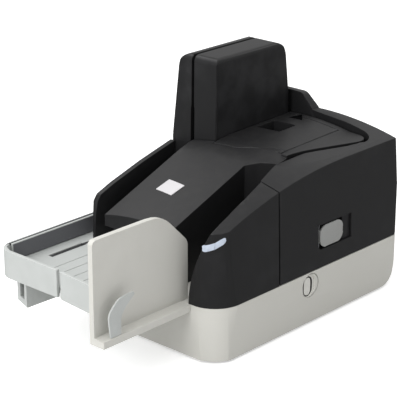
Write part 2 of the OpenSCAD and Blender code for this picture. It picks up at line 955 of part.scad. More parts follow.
module rear_post() {
    top = tower_top - 50;
    start = 188;
    color(black) place() difference() {
        union() {
            upright(base_h, top) difference() {
                translate([towers_left, start]) square([-split_x - 0.3 - towers_left, post_y - start]);
                translate([towers_left - cut, start - cut])
                    square([outer_face + 0.3 - towers_left + cut, tower_rear + 0.8 - start + cut]);
            }
            for (q = fixed_knuckles) {
                rod([-hinge_x, hinge_y], knuckle_r, q[0], q[1]);
                block(-hinge_x - 3, -hinge_x + 3, post_y - 1, hinge_y, q[0], q[1]);
            }
        }
        inside_path(-groove / 2, base_h - cut, top + cut);
        for (q = cover_knuckles) rod([-hinge_x, hinge_y], knuckle_r + 0.6, q[0] - 0.4, q[1] + 0.4);
        rod([-hinge_x, hinge_y], hinge_d / 2, base_h - cut, tower_top);
    }
}

module left_guide_wall() {
    left = towers_left;
    face = -slot_x - groove / 2;
    end = tower_front - 0.4;
    color(black) place() difference() {
        intersection() {
            union() {
                across(left, left + 5) polygon([
                    [20.2, tray_floor], [22, 82], [24, 91.8], [28, 96.8], [43, 102.5], [78, 113],
                    [end, 122.4], [end, tray_floor],
                ]);
                across(face - 10.5, face) polygon([
                    [40, tray_floor], [40, 84], [46, 90], [78, 99], [end, 108.4], [end, tray_floor],
                ]);
                block(left, face - 2, 100, end, base_h, 100);
                block(left, face - 2, recess_y + 2, end, base_h, tyre_foot);
            }
            upright(0, tower_top) polygon([
                [left, 24], [left + 4, 18], [0, 18], [0, body_d], [left, body_d],
            ]);
        }
        roller_windows([exit_pinch_at], pinch_d / 2 + 0.6);
        rod(exit_pinch_at, 1.5 + bearing_gap, 54, tyre_top + 6);
    }
}

module base_casing() {
    color(light) place() difference() {
        union() {
            difference() {
                base_shape(0, foot_h, base_h);
                base_shape(wall, foot_h - cut, base_h - deck);
            }
            for (q = drives) rod(q, 5, shaft_foot - 3, base_h - deck);
            for (q = screw_spots) rod(q, 4, foot_h + 2.4, base_h - deck);
            intersection() {
                base_shape(0, foot_h, base_h);
                pill(0, 20, 23, -5.5, 0);
            }
        }
        for (q = drives) rod(q, shaft_d / 2 + bearing_gap, shaft_foot - 0.5, base_h + cut);
        for (q = screw_spots) rod(q, 1.4, foot_h, 17);
        rod(motor_at, 7, base_h - deck - cut, base_h + cut);
        pill(0, 16, 19, -3, cut);
        pill(-1.5, 8.6, 15.6, -6, cut);
        for (q = [[power_x, 7.3], [data_x, 6.3]])
            block(q[0] - q[1], q[0] + q[1], body_d - 12, body_d + cut, socket_z - 0.3, socket_top + 0.3);
    }
}

module base_plate() {
    low = foot_h + 0.4;
    color(grey) place() difference() {
        union() {
            base_shape(wall + 0.2, low, low + 2);
            for (x = [-130, -46]) for (y = [body_d - 72, body_d - 20]) rod([x, y], 3, low + 2, 18);
        }
        for (q = screw_spots) rod(q, 1.6, 0, low + 3);
    }
}

module rubber_feet() {
    color(rubber) place() for (q = foot_spots) rod(q, foot_d / 2, 0, foot_h + 0.4);
}

module base_screws() {
    color(steel) place() for (q = screw_spots) {
        rod(q, 2.8, foot_h - 1, foot_h + 0.4);
        rod(q, 1.4, foot_h + 0.4, 15);
    }
}

module main_board() {
    color(green) place() {
        block(-136, -40, body_d - 78, body_d - 14, 18, socket_z);
        block(-120, -104, body_d - 60, body_d - 44, socket_z, 22);
        block(-60, -50, body_d - 70, body_d - 50, socket_z, 24);
    }
}

module power_inlet() {
    color(soft_black) place() difference() {
        block(power_x - 7, power_x + 7, body_d - 19, body_d - 4, socket_z, socket_top);
        translate([power_x, body_d, (socket_z + socket_top) / 2])
            rotate([90, 0, 0]) cylinder(r = 3.2, h = 13);
    }
}

module data_socket() {
    color(steel) place() difference() {
        block(data_x - 6, data_x + 6, body_d - 19, body_d - 4, socket_z, socket_top);
        block(data_x - 4.4, data_x + 4.4, body_d - 15, body_d, socket_z + 1.6, socket_top - 1.8);
    }
}

module power_button() {
    color(grey) place() {
        pill(-1.5, 8, 15, -7, -1);
        pill(-1.5, 11, 16, -7.8, -5.8);
    }
}

plate_face = -leg_x - 3.5;

module hopper_shelf() {
    right = plate_face + shelf_w + 1;
    color(light) place() {
        difference() {
            block(plate_face - plate_t, right, front_y, 0, base_h - 6, base_h);
            block(plate_face - plate_t + 2, right - 2, front_y + 2, -2, base_h - 7, base_h - 2);
        }
        across(plate_face - plate_t, plate_face) polygon(rounded([
            [front_y, base_h - 6, 1], [0, base_h - 6, 0], [0, base_h, 0], [8, base_h, 0], [8, 94, 10],
            [-20, base_h + plate_h, 30], [front_y, base_h + plate_h, 4],
        ]));
    }
}

module hopper_finger() {
    left = plate_face + shelf_w - 1.4;
    foot = front_y + 8;
    tip = base_h + finger_h;
    color(pale) place() across(left, left + 1.6) polygon(rounded([
        [foot, base_h, 0], [foot + 11, base_h, 0], [foot + 11, tip - 16, 8], [foot + 16, tip - 9, 6],
        [foot + 25, tip - 2, 0.6], [foot + 24, tip, 0.6], [foot + 9, tip - 0.6, 12], [foot - 2, tip - 11, 10],
    ]));
}

tray_low = tray_floor - 8;
tray_left = -overall_w + 3;

module stacker_tray() {
    rim = tray_floor + rim_h;
    color(pale) place() difference() {
        union() {
            upright(tray_floor - 3, tray_floor) polygon([
                [-tray_right, -tray_reach - 3], [-tray_right, -cut], [-hopper_left - wall - 0.5, -cut],
                [-hopper_left - wall - 0.5, recess_y - 0.5], [-body_w + 1, recess_y - 0.5],
                [tray_left + 0.4, 41], [tray_left + 0.4, -tray_reach + 13.2],
                [tray_left + 3.4, -tray_reach + 7.5], [tray_left + 11.2, -tray_reach + 4.1],
                [-101, -tray_reach + 4.1], [-97, -tray_reach + 1],
            ]);
            upright(tray_low, rim) polygon([
                [-tray_right, -tray_reach - 5], [-tray_right, -tray_reach - 2], [-58, -tray_reach - 0.5],
                [-97, -tray_reach + 3], [-97, -tray_reach], [-58, -tray_reach - 3.5],
            ]);
            block(-tray_right - 3, -tray_right, -tray_reach - 2.5, -cut, tray_low, tray_floor - 1);
            block(-99.5, -96.5, -tray_reach + 1.5, -cut, tray_low, tray_floor - 1);
            for (y = [14, recess_y - 3.5])
                block(-body_w + 4, -hopper_left - wall - 0.5, y, y + 3, base_h, tray_floor);
        }
        block(tray_left + 13, tray_left + 18, -29, 8, tray_floor - 4, tray_floor + cut);
    }
}

module stacker_end() {
    rim = tray_floor + rim_h;
    left = -overall_w;
    front = -tray_reach;
    rear = front + stacker_travel + 29;
    inside = [[left + 3, 41], [left + 3, front + 13], [left + 6, front + 7],
        [left + 14, front + 3.4], [-101.6, front + 3.6]];
    color(pale) place() difference() {
        union() {
            upright(tray_low, rim) polygon(concat(
                [[left, 41]],
                path([[left, front + 20, 0], [left, front, 16], [-101.6, front + 0.4, 0]]),
                reversed(inside)
            ));
            // Slide that runs under the fixed floor
            upright(tray_floor - 6.5, tray_floor - 3.4) polygon(concat(
                [[left + 1, rear]],
                path([[left + 1, front + 20, 0], [left + 1, front + 1, 15], [-104, front + 1.4, 0]]),
                [[-104, rear]]
            ));
            // Foot below the front left corner
            upright(31, tray_floor - 5) polygon([
                [left + 14, front + 9], [left + 32, front + 3], [left + 33, front + 33],
                [left + 17, front + 33],
            ]);
        }
        block(left + 19.5, left + 27, front, front + 20, 36, tray_floor - 9);
        upright(30, tray_floor - 9) polygon([
            [left + 16.5, front + 11.5], [left + 29.5, front + 7.5], [left + 30.5, front + 30.5],
            [left + 19.2, front + 30.5],
        ]);
    }
}

module stacker_liner() {
    color([0.35, 0.35, 0.37]) place()
        block(tray_left, tray_left + 2, -tray_reach + 14, 41, tray_floor + 0.4, tray_floor + rim_h - 0.5);
}

base_casing();
base_plate();
rubber_feet();
base_screws();
main_board();
power_inlet();
data_socket();
drive_motor();
motor_pulley();
drive_belts();
bearing_plate();
bearing_posts();
centre_island();
front_block();
status_lens();
left_guide_wall();
rear_post();
tower_inner();
tower_outer();
sensor_glass_inner();
sensor_glass_outer();
magnetic_head();
imprint_cartridge();
imprinter_lid();
lid_pins();
outer_cover();
hinge_pin();
release_lever();
lever_pin();
power_button();
hopper_shelf();
hopper_finger();
stacker_tray();
stacker_end();
stacker_liner();
badge();
feed_shaft();
feed_tyre();
right_shaft();
right_tyre();
rear_shaft();
rear_tyre();
exit_shaft();
exit_tyre();
retard_roller();
rear_pinch();
exit_pinch();
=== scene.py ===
"""Looks of a compact cheque scanner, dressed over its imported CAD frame.

The black covers, the light base, the pull-out stacker and every roller keep the places that the
frame gives them. Each sub-assembly is a class that softens the moulded edges, adds the small
details and gives every piece its finish.
"""

import json
import logging
import math
from collections.abc import Callable
from dataclasses import dataclass, field
from enum import Enum

import bmesh
import bpy
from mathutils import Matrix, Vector

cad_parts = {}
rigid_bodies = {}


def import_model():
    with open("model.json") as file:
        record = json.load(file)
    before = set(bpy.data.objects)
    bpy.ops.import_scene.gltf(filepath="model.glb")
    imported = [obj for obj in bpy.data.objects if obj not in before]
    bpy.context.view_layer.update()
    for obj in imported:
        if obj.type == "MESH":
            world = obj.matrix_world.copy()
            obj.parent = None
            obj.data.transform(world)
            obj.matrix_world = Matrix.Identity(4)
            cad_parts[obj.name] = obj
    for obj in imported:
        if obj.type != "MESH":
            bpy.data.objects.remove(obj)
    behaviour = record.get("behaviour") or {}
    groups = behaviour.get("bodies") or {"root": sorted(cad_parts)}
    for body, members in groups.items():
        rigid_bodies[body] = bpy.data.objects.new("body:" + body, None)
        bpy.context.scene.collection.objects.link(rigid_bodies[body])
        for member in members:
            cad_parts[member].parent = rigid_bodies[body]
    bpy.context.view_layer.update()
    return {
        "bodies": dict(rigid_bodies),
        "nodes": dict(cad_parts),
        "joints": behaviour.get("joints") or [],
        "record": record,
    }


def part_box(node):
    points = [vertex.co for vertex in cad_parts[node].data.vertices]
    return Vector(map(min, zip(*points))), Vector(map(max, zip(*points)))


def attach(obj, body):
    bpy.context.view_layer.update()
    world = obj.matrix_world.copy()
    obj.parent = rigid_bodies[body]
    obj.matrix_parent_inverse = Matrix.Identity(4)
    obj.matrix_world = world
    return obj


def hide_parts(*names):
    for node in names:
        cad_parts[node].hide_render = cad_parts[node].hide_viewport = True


log = logging.getLogger("cheque_scanner")

MM = 0.001
# The casing's front right corner on the table, in the frame of the whole part
CORNER = Vector((86 * MM, -69 * MM, 0))
# Degrees between faces past which an edge is rounded, and past which it stays sharp in the shading
ROUND_ABOVE = 28
SHARP_ABOVE = 30
# An edge is rounded if it, and every edge beside it, is this many roundings long
ROOM_ALONG = 2.2
ROOM_BESIDE = 1.3
# Millimetres of a cutter that goes right through a thin piece
THROUGH = 4

Point = tuple[float, float, float]
Span = tuple[Point, Point]


def spot(x: float, y: float, z: float) -> Vector:
    """Gives a place of the frame for millimetres measured from the casing's corner.

    Args:
        x: Millimetres to the right of the casing's right side.
        y: Millimetres behind the casing's front.
        z: Millimetres above the table.

    Returns:
        The place in metres.
    """
    return CORNER + Vector((x, y, z)) * MM


def linear(red: float, green: float, blue: float) -> tuple[float, float, float, float]:
    """Turns a colour as it is seen on a screen, 0 to 255, into the shader's own numbers.

    Args:
        red: Red from 0 to 255.
        green: Green from 0 to 255.
        blue: Blue from 0 to 255.

    Returns:
        The linear colour with full alpha.
    """
    values = [c / 255 for c in (red, green, blue)]
    curve = [c / 12.92 if c <= 0.04045 else ((c + 0.055) / 1.055) ** 2.4 for c in values]
    return (curve[0], curve[1], curve[2], 1.0)


# Operators on one piece


class Part(Enum):
    """The parts of a mesh that can be selected."""

    CORNER = "VERT"
    EDGE = "EDGE"
    FACE = "FACE"


class Keep(Enum):
    """What a cut keeps of a piece: what lies outside the cutter, or what lies inside."""

    OUTSIDE = "DIFFERENCE"
    INSIDE = "INTERSECT"


def pick(piece: bpy.types.Object) -> None:
    """Leaves this piece alone selected and active.

    Args:
        piece: The piece to work on.
    """
    if bpy.context.object is not None and bpy.context.object.mode != "OBJECT":
        bpy.ops.object.mode_set(mode="OBJECT")
    bpy.ops.object.select_all(action="DESELECT")
    piece.select_set(True)
    bpy.context.view_layer.objects.active = piece


def edit(piece: bpy.types.Object) -> bmesh.types.BMesh:
    """Opens a piece in edit mode with nothing selected.

    Args:
        piece: The piece to open.

    Returns:
        Its mesh, for selecting faces and edges by their place.
    """
    pick(piece)
    bpy.ops.object.mode_set(mode="EDIT")
    bpy.ops.mesh.select_all(action="DESELECT")
    mesh = bmesh.from_edit_mesh(piece.data)
    mesh.faces.ensure_lookup_table()
    return mesh


def close(piece: bpy.types.Object) -> None:
    """Leaves edit mode.

    Args:
        piece: The piece that was open.
    """
    bmesh.update_edit_mesh(piece.data)
    bpy.ops.object.mode_set(mode="OBJECT")


def choose(mesh: bmesh.types.BMesh, part: Part, test: Callable[..., bool]) -> int:
    """Selects the corners, edges or faces that pass a test, and no others.

    Args:
        mesh: The open mesh.
        part: Which of them to select.
        test: Takes one of them and says whether it is wanted.

    Returns:
        The number selected.
    """
    bpy.ops.mesh.select_mode(type=part.value)
    bpy.ops.mesh.select_all(action="DESELECT")
    everything = {Part.CORNER: mesh.verts, Part.EDGE: mesh.edges, Part.FACE: mesh.faces}[part]
    wanted = [one for one in everything if test(one)]
    for one in wanted:
        one.select_set(True)
    mesh.select_flush_mode()
    return len(wanted)


def shift(piece: bpy.types.Object, test: Callable[[Vector], bool], move: Point | Vector) -> None:
    """Moves the corners of a piece that pass a test.

    Args:
        piece: The piece.
        test: Takes a corner's place in metres and says whether it moves.
        move: The move in millimetres.
    """
    choose(edit(piece), Part.CORNER, lambda corner: test(corner.co))
    bpy.ops.transform.translate(value=Vector(move) * MM)
    close(piece)


def bevel(width: float, segments: int) -> None:
    """Rounds the selected edges of the open piece.

    Args:
        width: Width of the rounding in millimetres.
        segments: Faces across the rounding.
    """
    bpy.ops.mesh.bevel(
        offset=width * MM, segments=segments, profile=0.5, affect="EDGES", clamp_overlap=False)


def carve(piece: bpy.types.Object, cutter: bpy.types.Object, keep: Keep = Keep.OUTSIDE) -> None:
    """Cuts one piece out of another, or down to another, and removes the cutter.

    Args:
        piece: The piece that is cut.
        cutter: The piece that cuts it.
        keep: What stays of the first piece.
    """
    pick(piece)
    cut = piece.modifiers.new("cut", "BOOLEAN")
    cut.operation = keep.value
    cut.object = cutter
    bpy.ops.object.modifier_apply(modifier=cut.name)
    pick(cutter)
    bpy.ops.object.delete()


def settle(piece: bpy.types.Object) -> None:
    """Puts a piece's place, turn and size into its mesh, so that its object sits at the origin.

    Args:
        piece: The piece to settle.
    """
    pick(piece)
    bpy.ops.object.transform_apply(location=True, rotation=True, scale=True)


def outward(piece: bpy.types.Object, angle: float = SHARP_ABOVE) -> None:
    """Turns every face outwards and shades the piece smooth up to an angle.

    Args:
        piece: The piece to finish.
        angle: Degrees between faces past which an edge stays sharp.
    """
    edit(piece)
    bpy.ops.mesh.select_all(action="SELECT")
    bpy.ops.mesh.normals_make_consistent(inside=False)
    close(piece)
    pick(piece)
    bpy.ops.object.shade_smooth_by_angle(angle=math.radians(angle))


def soften(piece: bpy.types.Object, width: float, segments: int = 2, angle: float = ROUND_ABOVE) -> None:
    """Rounds a piece's sharp edges, wherever the faces beside them leave room for it.

    Args:
        piece: The piece to soften.
        width: Width of the rounding in millimetres.
        segments: Faces across the rounding.
        angle: Degrees between faces past which an edge is rounded.
    """
    mesh = edit(piece)
    room = {v: min((e.calc_length() for e in v.link_edges), default=0) for v in mesh.verts}

    def wanted(edge: bmesh.types.BMEdge) -> bool:
        """Says whether an edge is sharp and has room for its rounding.

        Args:
            edge: The edge.

        Returns:
            True if it is to be rounded.
        """
        if not edge.is_manifold or edge.calc_face_angle() < math.radians(angle):
            return False
        beside = min(room[v] for v in edge.verts)
        return edge.calc_length() > ROOM_ALONG * width * MM and beside > ROOM_BESIDE * width * MM

    if choose(mesh, Part.EDGE, wanted):
        bevel(width, segments)
    close(piece)


def box_piece(name: str, low: Vector, high: Vector) -> bpy.types.Object:
    """Adds a cube at its size and place, as the start of a piece.

    Args:
        name: The piece's name.
        low: Its lowest corner in metres.
        high: Its highest corner in metres.

    Returns:
        The new object, settled.
    """
    bpy.ops.object.select_all(action="DESELECT")
    bpy.ops.mesh.primitive_cube_add(size=1, location=(low + high) / 2)
    piece = bpy.context.object
    piece.scale = high - low
    piece.name = name
    settle(piece)
    return piece


def span_piece(name: str, span: Span) -> bpy.types.Object:
    """Adds a box between two corners, as the start of a piece.

    Args:
        name: The piece's name.
        span: Its lowest and highest corner, in millimetres from the casing's corner.

    Returns:
        The new object, settled.
    """
    low, high = span
    return box_piece(name, spot(*low), spot(*high))


def round_piece(name: str, centre: Vector, radius: float, depth: float, turn: Point = (0, 0, 0),
                vertices: int = 48) -> bpy.types.Object:
    """Adds a cylinder at its size and place, as the start of a piece.

    Args:
        name: The piece's name.
        centre: Its middle in metres.
        radius: Its radius in millimetres.
        depth: Its length in millimetres.
        turn: Its turn in degrees about X, Y and Z.
        vertices: Corners round it.

    Returns:
        The new object, settled.
    """
    bpy.ops.object.select_all(action="DESELECT")
    bpy.ops.mesh.primitive_cylinder_add(
        vertices=vertices, radius=radius * MM, depth=depth * MM, location=centre,
        rotation=[math.radians(a) for a in turn])
    piece = bpy.context.object
    piece.name = name
    settle(piece)
    return piece


def pill_piece(name: str, centre: Vector, width: float, height: float, depth: float) -> bpy.types.Object:
    """Adds an upright pill that faces the right, as the start of a piece.

    Args:
        name: The piece's name.
        centre: Its middle in metres.
        width: Its width along Y in millimetres.
        height: Its height in millimetres.
        depth: Its thickness along X in millimetres.

    Returns:
        The new object, settled.
    """
    piece = round_piece(name, centre, width / 2, depth, (0, 90, 0), 64)
    reach = (height - width) / 2
    near = 0.01 * MM
    shift(piece, lambda place: place.z > centre.z + near, (0, 0, reach))
    shift(piece, lambda place: place.z < centre.z - near, (0, 0, -reach))
    return piece


def plate_piece(name: str, corners: tuple[Point, ...], depth: float) -> bpy.types.Object:
    """Adds a flat plate with the given corners, as the start of a piece.

    Args:
        name: The piece's name.
        corners: Millimetres from the casing's corner for each corner of its upper side, in turn.
        depth: Its thickness in millimetres.

    Returns:
        The new object, settled.
    """
    middle = sum((spot(*corner) for corner in corners), Vector()) / len(corners)

    def turn(place: Vector) -> float:
        """Gives the direction of a place seen from the plate's middle."""
        return math.atan2(place.y - middle.y, place.x - middle.x)

    centre = middle - Vector((0, 0, depth / 2)) * MM
    piece = round_piece(name, centre, 3, depth, vertices=len(corners))
    targets = sorted((spot(*corner) for corner in corners), key=turn)
    starts = sorted((v.co.copy() for v in piece.data.vertices if v.co.z > middle.z - 0.1 * MM), key=turn)
    for start, target in zip(starts, targets):
        shift(piece, lambda place: (place.xy - start.xy).length < 1e-6, (target - start) / MM)
    return piece


# Steps of a shader


def feed(tree: bpy.types.NodeTree, value: object, place: bpy.types.NodeSocket) -> None:
    """Gives an input its value: by a link from a socket, or else as a number or colour.

    Args:
        tree: The nodes to build in.
        value: The socket, number or colour.
        place: The input.
    """
    if isinstance(value, bpy.types.NodeSocket):
        tree.links.new(value, place)
    else:
        place.default_value = value


def compute(tree: bpy.types.NodeTree, operation: str, *values: object) -> bpy.types.NodeSocket:
    """Adds one step of arithmetic.

    Args:
        tree: The nodes to build in.
        operation: What the step does.
        values: The sockets or numbers that it takes, in turn.

    Returns:
        The result.
    """
    step = tree.nodes.new("ShaderNodeMath")
    step.operation = operation
    for value, place in zip(values, step.inputs):
        feed(tree, value, place)
    return step.outputs["Value"]


def spread(tree: bpy.types.NodeTree, value: bpy.types.NodeSocket, start: tuple[float, float] = (0, 1),
           end: tuple[float, float] = (0, 1)) -> bpy.types.NodeSocket:
    """Takes a value from one range to another and keeps it inside.

    Args:
        tree: The nodes to build in.
        value: The value.
        start: The ends of its own range.
        end: The ends of the new range.

    Returns:
        The value in the new range.
    """
    made = tree.nodes.new("ShaderNodeMapRange")
    for name, number in zip(("From Min", "From Max", "To Min", "To Max"), (*start, *end)):
        made.inputs[name].default_value = number
    feed(tree, value, made.inputs["Value"])
    return made.outputs["Result"]


# Effects shared by the finishes


@dataclass
class Effect:
    """A shader node group under construction, with named numbers coming out of it."""

    name: str
    scaled: bool = False
    tree: bpy.types.NodeTree = field(init=False)
    way_in: bpy.types.Node = field(init=False)
    way_out: bpy.types.Node = field(init=False)
    place: bpy.types.Node = field(init=False)

    def __post_init__(self) -> None:
        """Makes the group, with a Scale input where its textures are scaled."""
        self.tree = bpy.data.node_groups.new(self.name, "ShaderNodeTree")
        self.way_in = self.tree.nodes.new("NodeGroupInput")
        self.way_out = self.tree.nodes.new("NodeGroupOutput")
        self.place = self.tree.nodes.new("ShaderNodeTexCoord")
        if self.scaled:
            self.tree.interface.new_socket(name="Scale", in_out="INPUT", socket_type="NodeSocketFloat")

    def texture(self, kind: str, **settings: float) -> bpy.types.Node:
        """Adds a texture that lies in the object's own space.

        Args:
            kind: The node's type.
            settings: Its inputs by name.

        Returns:
            The new node.
        """
        made = self.tree.nodes.new(kind)
        self.tree.links.new(self.place.outputs["Object"], made.inputs["Vector"])
        if self.scaled:
            self.tree.links.new(self.way_in.outputs["Scale"], made.inputs["Scale"])
        for name, value in settings.items():
            made.inputs[name].default_value = value
        return made

    def give(self, name: str, value: bpy.types.NodeSocket) -> None:
        """Lets a value out of the group.

        Args:
            name: The output's name.
            value: The value.
        """
        self.tree.interface.new_socket(name=name, in_out="OUTPUT", socket_type="NodeSocketFloat")
        self.tree.links.new(value, self.way_out.inputs[name])


def moulded_grain() -> bpy.types.NodeTree:
    """Builds the fine spark-eroded grain of moulded covers.

    Returns:
        The group: Scale in, Height and Shade out.
    """
    effect = Effect("moulded_grain", scaled=True)
    fine = effect.texture("ShaderNodeTexNoise", Detail=3, Roughness=0.65)
    pits = effect.texture("ShaderNodeTexVoronoi")
    height = compute(effect.tree, "MULTIPLY_ADD", pits.outputs["Distance"], 0.6, fine.outputs["Fac"])
    effect.give("Height", height)
    effect.give("Shade", spread(effect.tree, fine.outputs["Fac"], (0.3, 0.7)))
    return effect.tree


def hand_marks() -> bpy.types.NodeTree:
    """Builds the faint uneven sheen that handling leaves.

    Returns:
        The group: Scale in, Mask out.
    """
    effect = Effect("hand_marks", scaled=True)
    cloud = effect.texture("ShaderNodeTexNoise", Detail=5, Roughness=0.55, Distortion=0.4)
    effect.give("Mask", spread(effect.tree, cloud.outputs["Fac"], (0.35, 0.68)))
    return effect.tree


def worn_edges() -> bpy.types.NodeTree:
    """Builds the light wear of outer edges, broken up so that it isn't a line.

    Returns:
        The group: Mask out.
    """
    effect = Effect("worn_edges")
    shape = effect.tree.nodes.new("ShaderNodeNewGeometry")
    noise = effect.texture("ShaderNodeTexNoise", Scale=60)
    edges = spread(effect.tree, shape.outputs["Pointiness"], (0.53, 0.6))
    patches = spread(effect.tree, noise.outputs["Fac"], (0.4, 0.65))
    effect.give("Mask", compute(effect.tree, "MULTIPLY", edges, patches))
    return effect.tree


def settled_dust() -> bpy.types.NodeTree:
    """Builds the thin dust that lies on faces that look up.

    Returns:
        The group: Mask out.
    """
    effect = Effect("settled_dust")
    shape = effect.tree.nodes.new("ShaderNodeNewGeometry")
    split = effect.tree.nodes.new("ShaderNodeSeparateXYZ")
    effect.tree.links.new(shape.outputs["Normal"], split.inputs["Vector"])
    noise = effect.texture("ShaderNodeTexNoise", Scale=140, Detail=6, Roughness=0.7)
    upward = spread(effect.tree, split.outputs["Z"], (0.5, 1.0))
    specks = spread(effect.tree, noise.outputs["Fac"], (0.45, 0.75))
    effect.give("Mask", compute(effect.tree, "MULTIPLY", upward, specks))
    return effect.tree


class Shared(Enum):
    """The effects that more than one finish uses."""

    GRAIN = "moulded_grain"
    MARKS = "hand_marks"
    WEAR = "worn_edges"
    DUST = "settled_dust"


def place_effect(tree: bpy.types.NodeTree, which: Shared, scale: float | None = None) -> bpy.types.Node:
    """Places a shared effect in a material, built the first time it is asked for.

    Args:
        tree: The material's nodes.
        which: The effect.
        scale: Its scale, where it has one.

    Returns:
        The group node.
    """
    builders = {Shared.GRAIN: moulded_grain, Shared.MARKS: hand_marks,
                Shared.WEAR: worn_edges, Shared.DUST: settled_dust}
    group = tree.nodes.new("ShaderNodeGroup")
    group.node_tree = bpy.data.node_groups.get(which.value) or builders[which]()
    if scale is not None:
        group.inputs["Scale"].default_value = scale
    return group


class Blend(Enum):
    """What a mix goes between, with the places of its two inputs and its output."""

    NUMBER = ("FLOAT", 2, 3, 0)
    COLOUR = ("RGBA", 6, 7, 2)


def blend(mask: bpy.types.NodeSocket, share: float, kind: Blend, start: object, end: object,
          tree: bpy.types.NodeTree) -> bpy.types.NodeSocket:
    """Goes from one value to another by a share of a mask.

    Args:
        mask: The mask.
        share: How much of the mask counts.
        kind: Whether the values are numbers or colours.
        start: Socket or value where the mask is 0.
        end: Value where it is 1.
        tree: The material's nodes.

    Returns:
        The blended value.
    """
    mix = tree.nodes.new("ShaderNodeMix")
    mix.data_type, first, second, result = kind.value
    feed(tree, compute(tree, "MULTIPLY", mask, share), mix.inputs[0])
    feed(tree, start, mix.inputs[first])
    feed(tree, end, mix.inputs[second])
    return mix.outputs[result]


# Finishes

BUMP_STRENGTH = 0.5
COAT_ROUGHNESS = 0.15
MARKS_SCALE = 18
CLEAR_MARKS_SCALE = 60
CLEAR_MARKS = 0.08
DUST_COLOUR = (168, 164, 156)
DUST_ROUGHNESS = 0.9
# The grain's light spots are this much lighter, as a factor and a plain amount
GRAIN_FACTOR = 1.35
GRAIN_LIFT = 0.004


@dataclass(frozen=True)
class Surface:
    """What every surface has. Colours are as seen on a screen, 0 to 255.

    The slot names the record's material slot, for surfaces of pieces that aren't CAD nodes; it is not used.
    """

    name: str
    colour: tuple[int, int, int]
    roughness: float
    slot: str = ""

    def material(self) -> bpy.types.Material:
        """Gives the material, built the first time it is asked for.

        Returns:
            The material.
        """
        made = bpy.data.materials.get(self.name)
        if made is None:
            made = bpy.data.materials.new(self.name)
            made.use_nodes = True
            self.shade(made.node_tree, made.node_tree.nodes["Principled BSDF"])
        return made

    def shade(self, tree: bpy.types.NodeTree, shader: bpy.types.Node) -> None:
        """Sets up the shader, which each kind of surface does in its own way."""
        raise NotImplementedError


@dataclass(frozen=True)
class Finish(Surface):
    """A solid surface: its sheen and how its grain, wear and dust show.

    Depths are in millimetres.
    """

    metallic: float = 0.0
    coat: float = 0.0
    specular: float = 0.5
    grain_scale: float = 1500
    grain_depth: float = 0.02
    grain_shade: float = 0.06
    marks: float = 0.06
    wear: float = 0.25
    wear_colour: tuple[int, int, int] = (120, 120, 120)
    dust: float = 0.05

    def shade(self, tree: bpy.types.NodeTree, shader: bpy.types.Node) -> None:
        """Sets up the shader with grain, hand marks, wear and dust.

        Args:
            tree: The material's nodes.
            shader: Its surface shader.
        """
        shader.inputs["Metallic"].default_value = self.metallic
        shader.inputs["Coat Weight"].default_value = self.coat
        shader.inputs["Coat Roughness"].default_value = COAT_ROUGHNESS
        shader.inputs["Specular IOR Level"].default_value = self.specular
        grain = place_effect(tree, Shared.GRAIN, self.grain_scale)
        marks = place_effect(tree, Shared.MARKS, MARKS_SCALE).outputs["Mask"]
        wear = place_effect(tree, Shared.WEAR).outputs["Mask"]
        dust = place_effect(tree, Shared.DUST).outputs["Mask"]
        base = linear(*self.colour)
        lighter = tuple(min(1.0, c * GRAIN_FACTOR + GRAIN_LIFT) for c in base[:3]) + (1.0,)
        colour = blend(grain.outputs["Shade"], self.grain_shade, Blend.COLOUR, base, lighter, tree)
        colour = blend(wear, self.wear, Blend.COLOUR, colour, linear(*self.wear_colour), tree)
        colour = blend(dust, self.dust, Blend.COLOUR, colour, linear(*DUST_COLOUR), tree)
        tree.links.new(colour, shader.inputs["Base Color"])
        dusty = min(1.0, self.dust * 3)
        polished = max(0.2, self.roughness - 0.15)
        rough = blend(marks, 1.0, Blend.NUMBER, self.roughness, self.roughness + self.marks, tree)
        rough = blend(dust, dusty, Blend.NUMBER, rough, DUST_ROUGHNESS, tree)
        rough = blend(wear, self.wear, Blend.NUMBER, rough, polished, tree)
        tree.links.new(rough, shader.inputs["Roughness"])
        bump = tree.nodes.new("ShaderNodeBump")
        bump.inputs["Strength"].default_value = BUMP_STRENGTH
        bump.inputs["Distance"].default_value = self.grain_depth * MM
        tree.links.new(grain.outputs["Height"], bump.inputs["Height"])
        tree.links.new(bump.outputs["Normal"], shader.inputs["Normal"])


@dataclass(frozen=True)
class ClearFinish(Surface):
    """A see-through surface, such as a lens or a sensor's glass, which may glow with painted light."""

    transmission: float = 0.0
    glow: float = 0.0

    def shade(self, tree: bpy.types.NodeTree, shader: bpy.types.Node) -> None:
        """Sets up the shader with hand marks alone.

        Args:
            tree: The material's nodes.
            shader: Its surface shader.
        """
        shader.inputs["Base Color"].default_value = linear(*self.colour)
        shader.inputs["Transmission Weight"].default_value = self.transmission
        shader.inputs["Emission Color"].default_value = linear(*self.colour)
        shader.inputs["Emission Strength"].default_value = self.glow
        marks = place_effect(tree, Shared.MARKS, CLEAR_MARKS_SCALE).outputs["Mask"]
        rough = spread(tree, marks, end=(self.roughness, self.roughness + CLEAR_MARKS))
        tree.links.new(rough, shader.inputs["Roughness"])


